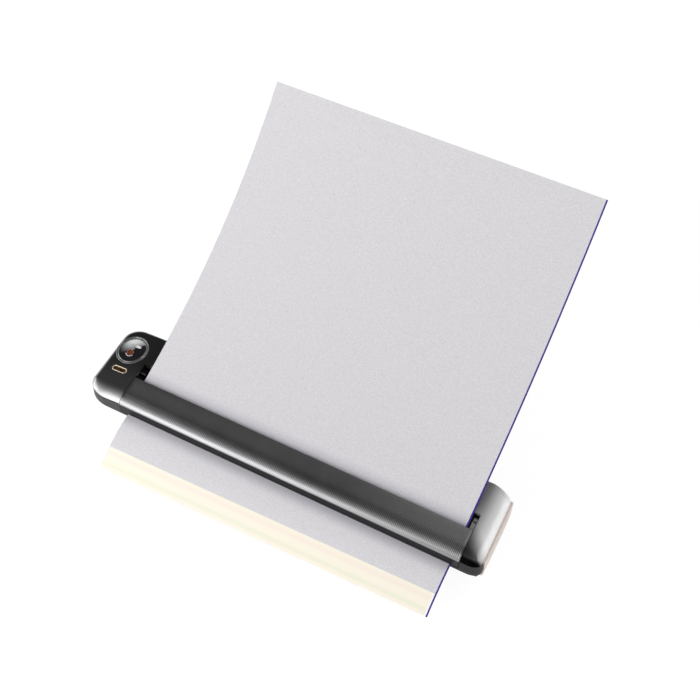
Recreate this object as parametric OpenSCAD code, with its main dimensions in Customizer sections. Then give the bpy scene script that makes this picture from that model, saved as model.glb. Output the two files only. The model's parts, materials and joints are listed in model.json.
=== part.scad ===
// Portable thermal printer for A4 sheets, in millimetres.
// X runs along the printer, +Y is the side where the sheet goes in, +Z is up.
// The origin is the middle of the body's footprint, on the plane of the feet.

/* [Paper] */
// Width of the sheet
paper_w = 210; // [200:1:216]
// Thickness of the sheet
paper_t = 0.12; // [0.08:0.01:0.2]
// Length of sheet behind the slot
sheet_rear = 197.8; // [120:1:260]
// Length of sheet in front of the exit, on the left
sheet_front_left = 36.2; // [20:1:60]
// Length of sheet in front of the exit, on the right
sheet_front_right = 29.2; // [20:1:60]
// Slope of the sheet at the slot, in degrees
slot_slope = 14.6; // [10:0.2:18]
// Slope of the sheet at the exit, in degrees
exit_slope = 5.7; // [4:0.1:9]
// Slope of the sheet where the head presses it, in degrees
nip_slope = 24.7; // [22:0.1:27]
// How crookedly the sheet was fed, in degrees
sheet_yaw = 0.57; // [0:0.1:0.9]

/* [Body] */
// Space left of the sheet in the cover bay
guide_left = 5.8; // [5.6:0.1:8]
// Space right of the sheet in the cover bay
guide_right = 4; // [3.8:0.1:7]
// Length of the left end, with display and key
left_end = 25.4; // [24:0.2:36]
// Length of the right end, with the gears
right_end = 12.3; // [11.5:0.2:20]
// Depth of the body, front to back
body_d = 52.8; // [52:0.2:60]
// Height of the body's top
body_h = 30; // [30:0.1:34]
// How far the crisp edge round the top lies below it
edge_drop = 4.4; // [4:0.1:4.6]
// Distance from the crisp edge out to the widest line
edge_in = 1; // [0.6:0.1:1.4]
// Height of the widest line
girth_z = 17; // [16:0.5:18]
// How far the belly draws in towards the bottom
belly_in = 9; // [7:0.5:10]
// Wall of the lower case
wall = 1.8; // [1.4:0.1:2.2]
// Wall of the top covers
top_wall = 1.6; // [1.2:0.1:2]
// Gap where two outer shells meet
seam = 0.3; // [0.2:0.05:0.5]
// Radius of the roll along the front edge
roll_r = 11; // [9:0.5:12]
// Slope of the roll where it meets the crisp edge, in degrees
roll_end = 54; // [48:1:58]
// Slope of the left top, down towards the end, in degrees
left_tilt = 5.3; // [3:0.1:6]
// Slope of the right top, down towards the end, in degrees
right_tilt = 4; // [2:0.5:6]
// Bulge of the end cap
cap_bulge = 0.9; // [0.8:0.1:2.4]
// Length of the end cap, front to back
cap_len = 40; // [32:1:42]

/* [Cover] */
// Depth of the cover, front to back
cover_d = 19.4; // [19:0.1:20]
// Wall of the cover
cover_wall = 1.5; // [1.2:0.1:1.7]
// Height of the cover's front, from the top down to its lower edge
cover_drop = 10.25; // [10:0.05:10.4]
// Width of the left hinge arm
left_arm = 4; // [3:0.1:5]
// Width of the right hinge arm
right_arm = 2.4; // [2:0.1:3]
// Depth of the hinge axis below the top
hinge_drop = 3.7; // [3.4:0.1:4]
// Distance of the hinge axis behind the cover's rear edge
hinge_back = 6.2; // [5.8:0.1:6.8]
// Radius of the hinge knuckles
knuckle_r = 2.6; // [2.2:0.1:2.7]
// Radius of the hinge pins
pin_r = 1.1; // [0.9:0.05:1.2]
// Depth of the notches behind the cover
notch_d = 10; // [9.5:0.1:11]

/* [Print head] */
// How far the print head reaches past each edge of the sheet
head_over = 1.5; // [1:0.1:2]
// Thickness of the ceramic substrate
substrate_t = 0.8; // [0.6:0.1:1]
// Width of the ceramic substrate
substrate_w = 4.8; // [4:0.1:5]
// Thickness of the heat sink
sink_t = 1.3; // [1:0.1:1.5]
// Width of the heat sink
sink_w = 8.2; // [7.8:0.1:8.4]
// Travel of the head against its springs
head_travel = 0.6; // [0.4:0.1:0.8]
// Number of head springs
spring_n = 6; // [2:1:8]
// Outer radius of a head spring
spring_r = 1.3; // [1:0.1:1.5]
// Wire of a head spring
spring_wire = 0.3; // [0.2:0.05:0.4]

/* [Drive] */
// Radius of the rubber roller
roller_r = 4.6; // [4.2:0.1:5]
// How far the rubber roller reaches past each edge of the sheet
roller_over = 2; // [1:0.1:2.4]
// Radius of the roller's shaft
shaft_r = 2.5; // [2:0.1:2.6]
// Outer radius of the shaft's bushes
bush_r = 4; // [3.6:0.1:4.4]
// Running clearance of shafts and pins
run_gap = 0.05; // [0.03:0.01:0.08]
// Size of the gear teeth, pitch diameter over tooth count
tooth_m = 0.5; // [0.45:0.05:0.5]
// Teeth of the roller gear
roller_teeth = 28; // [26:1:28]
// Teeth of the small step of the idler
idler_small_teeth = 16; // [16:1:18]
// Teeth of the large step of the idler
idler_large_teeth = 30; // [28:1:30]
// Teeth of the motor pinion
pinion_teeth = 16; // [16:1:18]
// Width of each gear
gear_w = 1.8; // [1.4:0.1:1.8]
// Radius of the motor
motor_r = 9; // [7:0.5:9.5]
// Length of the motor
motor_len = 14; // [12:1:15]
// Place of the motor's axis from the middle of the body
motor_y = 6.5; // [6:0.1:7]
// Height of the motor's axis
motor_z = 13; // [12.5:0.1:14]

/* [Display and key] */
// Radius of the ring round the display
dial_r = 10.2; // [8.5:0.1:10.4]
// Width of the ring round the display
dial_ring_w = 1.8; // [1.2:0.1:2.2]
// Distance of the display's centre from the cover bay
dial_in = 12.8; // [12:0.1:13.5]
// Distance of the display's centre behind the middle of the body
dial_y = 8.95; // [8:0.1:10]
// Length of the key's bezel
key_len = 10.2; // [8:0.1:11]
// Width of the key's bezel
key_w = 3.8; // [3:0.1:4.4]
// Rim of the key's bezel
key_rim = 0.55; // [0.4:0.05:0.8]
// Distance of the key's centre in front of the middle of the body
key_y = 6.1; // [5.5:0.1:7]
// Travel of the key
key_travel = 0.5; // [0.3:0.05:0.7]

/* [Inside] */
// Radius of a battery cell
cell_r = 9.2; // [7:0.1:9.4]
// Part of the sheet's width that the two battery cells leave free
cells_free = 80; // [80:1:110]
// Thickness of the circuit boards
board_t = 1.2; // [0.8:0.1:1.6]
// Width of the socket
usb_w = 8.94; // [8.9:0.01:9]
// Height of the socket
usb_h = 3.2; // [3.1:0.05:3.3]
// Radius of a rubber foot
foot_r = 4.5; // [3:0.1:5]
// How far the feet stand out of the bottom
foot_out = 1.5; // [1:0.1:2]
// Radius of a case screw
screw_r = 1.1; // [0.8:0.05:1.2]

/* [Hidden] */
$fn = 48;

// Places along X
bay_len = guide_left + paper_w + guide_right;
total_len = left_end + bay_len + right_end + cap_bulge;
body_x0 = -total_len / 2;
bay_x0 = body_x0 + left_end;
bay_x1 = bay_x0 + bay_len;
body_x1 = bay_x1 + right_end;
paper_x = bay_x0 + guide_left + paper_w / 2;
bay_mid = (bay_x0 + bay_x1) / 2;
cover_x0 = bay_x0 + seam;
cover_x1 = bay_x1 - seam;
deck_x0 = bay_x0 + left_arm + 2 * seam + 0.5;
deck_x1 = bay_x1 - right_arm - 2 * seam - 0.5;

// Places along Y
front_y = -body_d / 2;
rear_y = body_d / 2;
crisp_y = front_y + edge_in;
cover_y = front_y + cover_d;
hinge_y = cover_y + hinge_back;
notch_y = cover_y + notch_d;
roll_y = crisp_y + roll_r * sin(roll_end);
bottom_z = foot_out;
floor_z = bottom_z + wall;

// Heights and lengths that go with the body's top and with the sheet
edge_z = body_h - edge_drop;
hinge_z = body_h - hinge_drop;
cover_lip_z = body_h - cover_drop;
head_len = paper_w + 2 * head_over;
roller_len = paper_w + 2 * roller_over;
cell_len = (paper_w - cells_free) / 2;

// The sheet's way through the printer, in the YZ plane
gap_t = 0.03;
slot_at = [cover_y + 1.14, body_h - 1.94];
exit_at = [front_y - 0.2, cover_lip_z - 0.65];
nip_at = [front_y + 9.9, body_h - 6];
rear_bend = 0.143;
front_bend = 0.917;
slot_handle = 3.6;
nip_handle = 3.4;

function along(p, angle, s) = [p[0] - s * cos(angle), p[1] - s * sin(angle)];
function bezier(a, b, c, d, t) =
    a * pow(1 - t, 3) + b * 3 * t * pow(1 - t, 2) + c * 3 * pow(t, 2) * (1 - t) + d * pow(t, 3);
function rear_angle(s) = slot_slope + rear_bend * s;
function front_angle(s) = exit_slope + front_bend * s;
rear_radius = 180 / PI / rear_bend;
front_radius = 180 / PI / front_bend;
function rear_point(s) = [
    slot_at[0] + rear_radius * (sin(rear_angle(s)) - sin(slot_slope)),
    slot_at[1] + rear_radius * (cos(slot_slope) - cos(rear_angle(s)))];
function front_point(s) = [
    exit_at[0] - front_radius * (sin(front_angle(s)) - sin(exit_slope)),
    exit_at[1] - front_radius * (cos(exit_slope) - cos(front_angle(s)))];
function slot_curve(t) = bezier(slot_at, along(slot_at, slot_slope, slot_handle),
    along(nip_at, nip_slope, -slot_handle), nip_at, t);
function exit_curve(t) = bezier(nip_at, along(nip_at, nip_slope, nip_handle),
    along(exit_at, exit_slope, -nip_handle), exit_at, t);
sheet_line = concat(
    [for (i = [28:-1:1]) rear_point((sheet_rear + 2) * i / 28)],
    [for (i = [0:8]) slot_curve(i / 8)],
    [for (i = [1:7]) exit_curve(i / 8)],
    [for (i = [0:14]) front_point((sheet_front_left + 2) * i / 14)]);

// The drive, in the YZ plane
roller_at = nip_at - (roller_r + paper_t / 2 + gap_t) * [-sin(nip_slope), cos(nip_slope)];
roller_gear_r = tooth_m * roller_teeth / 2;
small_r = tooth_m * idler_small_teeth / 2;
large_r = tooth_m * idler_large_teeth / 2;
pinion_r = tooth_m * pinion_teeth / 2;
motor_at = [motor_y, motor_z];
link_a = roller_gear_r + small_r;
link_b = large_r + pinion_r;
span = norm(motor_at - roller_at);
span_dir = (motor_at - roller_at) / span;
link_foot = (pow(link_a, 2) - pow(link_b, 2) + pow(span, 2)) / (2 * span);
link_drop = sqrt(max(pow(link_a, 2) - pow(link_foot, 2), 0.01));
idler_at = roller_at + link_foot * span_dir + link_drop * [span_dir[1], -span_dir[0]];
function bearing(a, b) = atan2(b[1] - a[1], b[0] - a[0]);
frame_t = 2.8;
gear_gap = 0.2;
gear_x = bay_x1 + frame_t + 2 * gear_gap;
step_x = gear_x + gear_w + gear_gap;

// Outline of the body seen from above: [x, y] radii of its four corners
left_front = [15, 10.5];
left_rear = [13, 10.5];
right_front = [8, 5];
right_rear = [15, 8.4];
corner_steps = 9;

function arc(cx, cy, rx, ry, a0) =
    [for (i = [0:corner_steps]) let (a = a0 + 90 * i / corner_steps) [cx + rx * cos(a), cy + ry * sin(a)]];
function outline(x0, x1, y0, y1, lf, rf, rr, lr) = concat(
    arc(x0 + lf[0], y0 + lf[1], lf[0], lf[1], 180),
    arc(x1 - rf[0], y0 + rf[1], rf[0], rf[1], 270),
    arc(x1 - rr[0], y1 - rr[1], rr[0], rr[1], 0),
    arc(x0 + lr[0], y1 - lr[1], lr[0], lr[1], 90));
function left_ring(x0, x1, y0, y1, lf, lr) = concat(
    arc(x0 + lf[0], y0 + lf[1], lf[0], lf[1], 180), [[x1, y0], [x1, y1]],
    arc(x0 + lr[0], y1 - lr[1], lr[0], lr[1], 90));
function right_ring(x0, x1, y0, y1, rf, rr) = concat([[x0, y0]],
    arc(x1 - rf[0], y0 + rf[1], rf[0], rf[1], 270),
    arc(x1 - rr[0], y1 - rr[1], rr[0], rr[1], 0), [[x0, y1]]);
function shrink(r, dx, dy) = [max(r[0] - dx, 0.4), max(r[1] - dy, 0.4)];
function body_outline(dx, dy) = outline(body_x0 + dx, body_x1 - dx, front_y + dy, rear_y - dy,
    shrink(left_front, dx, dy), shrink(right_front, dx, dy),
    shrink(right_rear, dx, dy), shrink(left_rear, dx, dy));

// Belly: share of the draw-in at a height below the widest line
belly_steps = 6;
end_share = 0.6;
function belly_draw(u) = belly_in * (1 - sqrt(max(1 - pow(u, 1.6), 0)) * 0.35 - (1 - u) * 0.65);
module belly(inset, low, high) {
    hull() {
        translate([0, 0, high - 0.01]) linear_extrude(0.01)
            polygon(body_outline(edge_in + inset, edge_in + inset));
        for (i = [0:belly_steps]) {
            u = i / belly_steps;
            d = belly_draw(u);
            translate([0, 0, girth_z + (low - girth_z) * u]) linear_extrude(0.01)
                polygon(body_outline(inset + d * end_share, inset + d));
        }
    }
}

// Top of an end: a stack of outlines that rolls over from the crisp edge to the flat top.
// side is -1 for the left end and 1 for the right end, in is how far the skin lies inside.
roll_steps = 8;
side_roll = [3.2, 6.5];
rear_roll = 2.6;
past_seam = 20;
function roll_angle(k) = roll_end * (1 - k / roll_steps);
function end_ring(side, k, in) =
    let (a = roll_angle(k))
    let (share = 1 - sin(a) / sin(roll_end))
    let (fy = front_y + edge_in + in + roll_r * (sin(roll_end) - sin(a)))
    let (ry = rear_y - edge_in - in - rear_roll * share)
    let (out = edge_in + in + side_roll[side < 0 ? 0 : 1] * share)
    side < 0
        ? left_ring(body_x0 + out, bay_x0 + past_seam, fy, ry,
            shrink(left_front, out, fy - front_y), shrink(left_rear, out, rear_y - ry))
        : right_ring(bay_x1 - past_seam, body_x1 - out, fy, ry,
            shrink(right_front, out, fy - front_y), shrink(right_rear, out, rear_y - ry));
function end_top(side, x) =
    body_h - (side < 0 ? (bay_x0 - x) * tan(left_tilt) : (x - bay_x1) * tan(right_tilt));
function end_height(side, k, x, in) =
    let (fall = (1 - cos(roll_angle(k))) / (1 - cos(roll_end)))
    edge_z + (end_top(side, x) - in - edge_z) * (1 - fall);
module end_dome(side, in, low) {
    ring_n = 2 * (corner_steps + 1) + 2;
    rings = [for (k = [0:roll_steps]) [for (p = end_ring(side, k, in))
        [p[0], p[1], end_height(side, k, p[0], in)]]];
    base = [for (p = rings[0]) [p[0], p[1], low]];
    points = concat(base, [for (r = rings) each r]);
    levels = roll_steps + 2;
    faces = concat(
        [[for (i = [0:ring_n - 1]) i]],
        [for (k = [0:levels - 2]) for (i = [0:ring_n - 1]) let (j = (i + 1) % ring_n)
            [k * ring_n + i, (k + 1) * ring_n + i, (k + 1) * ring_n + j, k * ring_n + j]],
        [[for (i = [ring_n - 1:-1:0]) (levels - 1) * ring_n + i]]);
    polyhedron(points, faces, convexity = 4);
}

// Section of the cover in the YZ plane, as [y, z]
function cover_line(in) = concat(
    [for (i = [0:16]) let (a = 90 + roll_end * i / 16)
        [roll_y + (roll_r - in) * cos(a), body_h - roll_r + (roll_r - in) * sin(a)]]);
lip_in = 0.8;

module along_x(x0, x1) {
    translate([x0, 0, 0]) rotate([90, 0, 90]) linear_extrude(x1 - x0) children();
}
module rod(x0, x1, at, r) {
    along_x(x0, x1) translate(at) circle(r);
}

// Involute gear in the XY plane, with a tooth centred on the angle phase
pressure = 20;
backlash = 0.05;
function involute(a) = tan(a) * 180 / PI - a;
function flank(teeth, r) =
    let (base = tooth_m * teeth / 2 * cos(pressure))
    90 / teeth - backlash / (tooth_m * teeth) * 180 / PI + involute(pressure)
        - (r > base ? involute(acos(base / r)) : 0);
module gear_2d(teeth, phase) {
    pitch = tooth_m * teeth / 2;
    low = pitch - 1.2 * tooth_m;
    top = pitch + 0.9 * tooth_m;
    radii = [for (i = [0:6]) low + (top - low) * i / 6];
    rotate(phase) polygon([for (i = [0:teeth - 1]) each concat(
        [for (r = radii) let (a = 360 * i / teeth - flank(teeth, r)) r * [cos(a), sin(a)]],
        [for (k = [6:-1:0]) let (a = 360 * i / teeth + flank(teeth, radii[k]))
            radii[k] * [cos(a), sin(a)]])]);
}

// Screws that hold the case: [x, y, height where the post above starts]
post_z = 7;
post_r = 2.6;
boss_r = 3.2;
screw_head_r = 2;
screw_spots = [[bay_x0 - 15, -14], [bay_x0 - 15, 16], [bay_x0 + 63.5, 12], [bay_x1 - 17.6, 12],
    [bay_x1 + 3.4, 14.5]];
function over_post(i) = end_height(i < 2 ? -1 : 1, roll_steps, screw_spots[i][0], top_wall);
module screw_post(spot, top) {
    translate([spot[0], spot[1], post_z]) difference() {
        cylinder(r = post_r, h = top - post_z);
        translate([0, 0, -0.1]) cylinder(r = screw_r + run_gap, h = 9);
    }
}

cell_y = 9;
cell_z = floor_z + cell_r + 0.1;
cell_x0 = bay_x0 + 68;
cell_gap = 0.4;
saddle_w = 3;
function cell_start(i) = cell_x0 + i * (cell_len + cell_gap);

module lower_case() {
    color([0.27, 0.27, 0.28]) difference() {
        union() {
            difference() {
                belly(0, bottom_z, edge_z);
                belly(wall, floor_z, edge_z + 0.1);
            }
            for (s = screw_spots) translate([s[0], s[1], bottom_z + 0.2])
                cylinder(r = boss_r, h = post_z - bottom_z - 0.2);
            for (i = [0:1]) for (e = [6, cell_len - 6])
                translate([cell_start(i) + e - saddle_w / 2, cell_y - cell_r + 2, floor_z - 0.2])
                    cube([saddle_w, 2 * cell_r - 4, cell_z - floor_z - 3]);
            for (p = main_pegs) translate([p[0], p[1], floor_z - 0.2])
                cylinder(r = 1.8, h = main_z - floor_z + 0.2);
            for (p = usb_pegs) translate([p[0], p[1], floor_z - 0.2])
                cylinder(r = 1.8, h = usb_board_z - floor_z + 0.2);
        }
        translate([bay_x0, front_y - 1, cover_lip_z - 1.2]) cube([bay_len, body_d / 2, body_h]);
        for (s = screw_spots) translate([s[0], s[1], bottom_z - 0.1]) {
            cylinder(r = screw_r + 0.2, h = post_z);
            cylinder(r = screw_head_r + 0.2, h = 2.8);
        }
        for (i = [0:1])
            rod(cell_start(i) - 0.2, cell_start(i) + cell_len + 0.2, [cell_y, cell_z], cell_r + 0.1);
        for (f = foot_spots) translate([f[0], f[1], bottom_z - 0.1])
            cylinder(r = foot_r + 0.1, h = foot_sink + 0.1);
        translate([body_x0 - 1, usb_y, usb_z]) rotate([0, 90, 0]) slot_rod(usb_w + 0.5, usb_h + 0.5, 12);
    }
}

// Pill shape along Y, extruded up
module slot_rod(length, width, h) {
    linear_extrude(h) union() {
        square([width, length - width], center = true);
        for (s = [-1, 1]) translate([0, s * (length - width) / 2]) circle(d = width);
    }
}

foot_sink = 0.6;
foot_spots = concat([[0, 0]], [for (x = [bay_x0 + 4, bay_x1 - 8]) for (y = [-10.5, 10.5]) [x, y]]);

module rubber_feet() {
    color([0.08, 0.08, 0.08]) for (f = foot_spots) translate([f[0], f[1], 0])
        cylinder(r1 = foot_r - 0.5, r2 = foot_r, h = foot_out + foot_sink);
}

module case_screws() {
    color([0.35, 0.35, 0.36]) for (s = screw_spots) translate([s[0], s[1], bottom_z + 1]) difference() {
        union() {
            cylinder(r = screw_head_r, h = 1.7);
            cylinder(r = screw_r, h = 10);
        }
        translate([0, 0, -0.1]) cylinder(r = 0.8, h = 0.9, $fn = 6);
    }
}

// Behind the notches the top covers reach a little way in over the deck
inner_lap = 5.5;
lap_bite = 0.3;
lap_front = notch_y;
module lap(x0, x1) {
    rear = rear_y - edge_in;
    along_x(x0, x1) polygon([[lap_front, deck_z + 0.1], [lap_front, body_h],
        [rear - rear_roll, body_h], [rear - 0.8, body_h - 1.4], [rear, edge_z + 0.2],
        [rear, edge_z], [rear - 4, edge_z], [rear - 4, deck_z + 0.1]]);
}

deck_t = 1.7;
deck_z = edge_z + deck_t;

module top_shell(side) {
    intersection() {
        difference() {
            end_dome(side, 0, edge_z);
            end_dome(side, top_wall, edge_z - 1);
        }
        translate([side < 0 ? bay_x0 - 2 * left_end : bay_x1, front_y, edge_z - 1])
            cube([2 * left_end, body_d, body_h]);
    }
}

dial_x = bay_x0 - dial_in;
dial_z = end_top(-1, dial_x);
module on_left_top(x, y) {
    translate([x, y, end_top(-1, x)]) rotate([0, -left_tilt, 0]) children();
}
ring_sink = 1;
lens_r = dial_r - dial_ring_w;
bezel_sink = 1;
key_x = dial_x + 0.8;

module left_top_cover() {
    color([0.05, 0.05, 0.055]) difference() {
        union() {
            top_shell(-1);
            difference() {
                lap(bay_x0 - lap_bite, bay_x0 + inner_lap);
                translate([bay_x0 - 1, notch_y + 1.4, deck_z - 1])
                    cube([inner_lap - 0.4, rear_y - notch_y - 5, body_h - deck_z - top_wall + 1]);
            }
            for (i = [0:1]) screw_post(screw_spots[i], over_post(i) + 0.3);
        }
        on_left_top(dial_x, dial_y) {
            translate([0, 0, -ring_sink]) cylinder(r = dial_r + 0.1, h = 5);
            translate([0, 0, -6]) cylinder(r = lens_r + 0.3, h = 8);
        }
        on_left_top(key_x, -key_y) {
            translate([0, 0, -bezel_sink]) rotate(90) slot_rod(key_len + 0.1, key_w + 0.1, 5);
            translate([0, 0, -6]) rotate(90) slot_rod(key_hole_l, key_hole_w, 8);
        }
    }
}

module right_top_cover() {
    color([0.72, 0.72, 0.73]) union() {
        top_shell(1);
        difference() {
            lap(bay_x1 - inner_lap, bay_x1 + lap_bite);
            translate([bay_x1 - inner_lap + 1.4, notch_y + 1.4, deck_z - 1])
                cube([inner_lap + 1, rear_y - notch_y - 5, body_h - deck_z - top_wall + 1]);
        }
        screw_post(screw_spots[4], over_post(4) + 0.3);
    }
}

module dial_ring() {
    color([0.35, 0.35, 0.37]) on_left_top(dial_x, dial_y) translate([0, 0, -ring_sink]) difference() {
        cylinder(r = dial_r, h = ring_sink + 0.35);
        translate([0, 0, -1]) cylinder(r = lens_r, h = 5);
        translate([0, 0, ring_sink + 0.05]) difference() {
            cylinder(r = dial_r - 0.6, h = 1);
            translate([0, 0, -1]) cylinder(r = lens_r + 0.5, h = 3);
        }
    }
}

module dial_lens() {
    color([0.03, 0.03, 0.035]) on_left_top(dial_x, dial_y) translate([0, 0, -1.1]) intersection() {
        cylinder(r = lens_r - 0.05, h = 1.3);
        translate([0, 0, 1.3 - 90]) sphere(r = 90, $fn = 180);
    }
}

panel_t = 2.6;
module display_panel() {
    color([0.1, 0.1, 0.12]) on_left_top(dial_x, dial_y) translate([0, 0, -1.15 - panel_t])
        cylinder(r = lens_r - 0.3, h = panel_t);
}

ui_z = -1.2 - panel_t - board_t;
module display_board() {
    color([0.05, 0.25, 0.12]) on_left_top(dial_x, dial_y) translate([-7.6, -dial_y - key_y - 3, ui_z])
        cube([15.2, dial_y + key_y + 3 + 4.4, board_t]);
}

module key_bezel() {
    color([0.85, 0.72, 0.5]) on_left_top(key_x, -key_y) translate([0, 0, -bezel_sink]) difference() {
        rotate(90) slot_rod(key_len, key_w, bezel_sink + 0.12);
        translate([0, 0, -1]) rotate(90) slot_rod(key_len - 2 * key_rim, key_w - 2 * key_rim, 4);
    }
}

key_gap = 0.12;
key_ledge = 0.1;
key_hole_l = key_len - 2 * (key_rim + key_ledge);
key_hole_w = key_w - 2 * (key_rim + key_ledge);
key_flange = 0.4;
key_sunk = 0.4;
switch_h = 0.8;
module power_key() {
    flange_top = -top_wall - 0.15;
    flange_low = flange_top - 0.45;
    stem_low = ui_z + board_t + switch_h + key_travel + 0.05;
    color([0.35, 0.22, 0.14]) on_left_top(key_x, -key_y) union() {
        translate([0, 0, flange_top - 0.1]) rotate(90)
            slot_rod(key_hole_l - 2 * key_gap, key_hole_w - 2 * key_gap, -key_sunk - flange_top + 0.1);
        translate([0, 0, flange_low]) rotate(90)
            slot_rod(key_hole_l + 2 * key_flange, key_hole_w + 2 * key_flange, flange_top - flange_low);
        translate([0, 0, stem_low]) cylinder(r = 0.9, h = flange_low - stem_low + 0.1);
    }
}

module key_switch() {
    color([0.2, 0.2, 0.2]) on_left_top(key_x, -key_y) translate([0, 0, ui_z + board_t]) union() {
        translate([-1.6, -1.6, 0]) cube([3.2, 3.2, switch_h - 0.3]);
        cylinder(r = 0.8, h = switch_h);
    }
}

usb_y = 3;
usb_board_z = 12.6;
usb_back = 2.2;
usb_z = usb_board_z + board_t + usb_h / 2;
usb_pegs = [for (y = [usb_y - 4.5, usb_y + 4.5]) [bay_x0 - 11, y]];
module usb_board() {
    color([0.05, 0.25, 0.12]) translate([body_x0 + wall + usb_back, usb_y - 6.5, usb_board_z])
        cube([bay_x0 - 8.5 - body_x0 - wall - usb_back, 13, board_t]);
}

module usb_socket() {
    usb_len = 7.3;
    color([0.75, 0.75, 0.77]) translate([body_x0 + 0.6, usb_y, usb_z]) rotate([0, 90, 0]) union() {
        difference() {
            slot_rod(usb_w, usb_h, usb_len);
            translate([0, 0, -1]) slot_rod(usb_w - 0.6, usb_h - 0.6, usb_len);
        }
        translate([-0.35, -3.2, 1]) cube([0.7, 6.4, usb_len - 1.5]);
    }
}

main_z = 8;
main_x0 = bay_x0 + 6;
main_len = 52;
main_y0 = -4;
main_d = 21;
main_pegs = [for (x = [main_x0 + 3, main_x0 + main_len - 3])
    for (y = [main_y0 + 3, main_y0 + main_d - 3]) [x, y]];
module main_board() {
    color([0.05, 0.28, 0.14]) translate([main_x0, main_y0, main_z]) union() {
        cube([main_len, main_d, board_t]);
        translate([14, 6, board_t]) cube([9, 9, 1]);
        translate([30, 5, board_t]) cube([6, 8, 1.2]);
        translate([3, 8, board_t]) cube([5, 10, 4]);
        translate([42, 3, board_t]) cube([5, 12, 3.2]);
        for (i = [0:2]) translate([12 + 6 * i, 18, board_t]) cylinder(r = 2, h = 4.5);
    }
}

module battery_cells() {
    color([0.16, 0.32, 0.6]) for (i = [0:1]) {
        union() {
            rod(cell_start(i), cell_start(i) + cell_len - 1, [cell_y, cell_z], cell_r);
            rod(cell_start(i) + cell_len - 1.1, cell_start(i) + cell_len, [cell_y, cell_z], 3);
        }
    }
}

// Frames that close the bay at both ends and carry roller, hinge and gears
frame_gap = 0.15;
frame_rear = 11;
function case_in(z) = wall + frame_gap + (z > girth_z
    ? edge_in * (z - girth_z) / (edge_z - girth_z)
    : belly_draw((girth_z - z) / (girth_z - floor_z)));
module end_frame_plate(side, x0, x1) {
    in = top_wall + frame_gap;
    far = side < 0 ? x0 : x1;
    low = floor_z + frame_gap;
    under = edge_z - 0.4;
    along_x(x0, x1) polygon(concat(
        [[frame_rear, low], [frame_rear, under], [notch_y - frame_gap, under],
         [notch_y - frame_gap, end_height(side, roll_steps, far, in)]],
        [for (k = [roll_steps:-1:1]) [end_ring(side, k, in)[side < 0 ? corner_steps + 1 : 0][1],
            end_height(side, k, far, in)]],
        [for (z = [edge_z - 1, girth_z + 3]) [front_y + case_in(z), z]],
        [for (i = [0:belly_steps]) let (z = girth_z + (floor_z - girth_z) * i / belly_steps)
            [front_y + case_in(z), max(z, low)]]));
}

module left_end_frame() {
    color([0.13, 0.13, 0.14]) difference() {
        end_frame_plate(-1, bay_x0 - frame_t, bay_x0);
        rod(bay_x0 - frame_t - 1, bay_x0 + 1, roller_at, bush_r);
        rod(bay_x0 - frame_t - 1, bay_x0 + 1, [hinge_y, hinge_z], pin_r + run_gap);
    }
}

module right_end_frame() {
    color([0.13, 0.13, 0.14]) difference() {
        end_frame_plate(1, bay_x1, bay_x1 + frame_t);
        rod(bay_x1 - 1, bay_x1 + frame_t + 1, roller_at, bush_r);
        rod(bay_x1 - 1, bay_x1 + frame_t + 1, [hinge_y, hinge_z], pin_r + run_gap);
        rod(bay_x1 - 1, bay_x1 + frame_t + 1, motor_at, motor_nose_r + frame_gap);
        rod(bay_x1 + 0.8, bay_x1 + frame_t + 1, idler_at, post_pin_r);
    }
}

// Flat ramp under the sheet, and the chute down to the roller
chute_gap = 0.45;
module paper_deck() {
    lip = cover_y + 1.5;
    color([0.1, 0.1, 0.11]) difference() {
        union() {
            intersection() {
                translate([0, 0, edge_z]) linear_extrude(deck_t - 0.05)
                    polygon(body_outline(edge_in + 0.05, edge_in + 0.05));
                union() {
                    translate([deck_x0, lip, 0]) cube([deck_x1 - deck_x0, body_d, body_h]);
                    translate([bay_x0 + 0.1, notch_y + 0.1, 0]) cube([bay_len - 0.2, body_d, body_h]);
                }
            }
            along_x(deck_x0, deck_x1) polygon([[lip, edge_z], [lip, deck_z - 0.05],
                slot_curve(0.25) - [0, chute_gap], slot_curve(0.4) - [0, chute_gap],
                slot_curve(0.4) - [0, chute_gap + 1.2], [lip + 1, edge_z - 1]]);
            for (i = [2:3]) screw_post(screw_spots[i], edge_z + 0.2);
        }
        translate([sensor_x - 1.2, sensor_y - 1, edge_z - 3]) cube([2.4, 2, 8]);
        translate([bay_x0 + 0.1, rear_y - edge_in - 4.1, edge_z - 0.1])
            cube([inner_lap, 5, deck_t + 0.2]);
        translate([bay_x1 - inner_lap - 0.1, rear_y - edge_in - 4.1, edge_z - 0.1])
            cube([inner_lap, 5, deck_t + 0.2]);
    }
}

sensor_x = paper_x - 60;
sensor_y = cover_y + 4.5;
module paper_sensor() {
    color([0.06, 0.06, 0.06]) union() {
        translate([sensor_x - 2.4, sensor_y - 1.8, edge_z - 2.6]) cube([4.8, 3.6, 2.55]);
        translate([sensor_x - 1, sensor_y - 0.8, edge_z - 0.1]) cube([2, 1.6, 1]);
    }
}

module exit_guide() {
    top_z = cover_lip_z - 1.2;
    roller_front = roller_at[0] - roller_r - 0.5;
    color([0.1, 0.1, 0.11]) along_x(bay_x0 + frame_gap, bay_x1 - frame_gap) polygon([
        [front_y + 0.25, top_z + 0.02], exit_curve(0.8) - [0, 0.7], exit_curve(0.55) - [0, 0.8],
        [roller_front, exit_curve(0.42)[1] - 1.1], [roller_front, top_z - 1],
        [roller_front - 1.2, top_z - 1.4], [front_y + wall + 0.2, top_z - 1.4],
        [front_y + wall + 0.2, top_z + 0.02]]);
}

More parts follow.
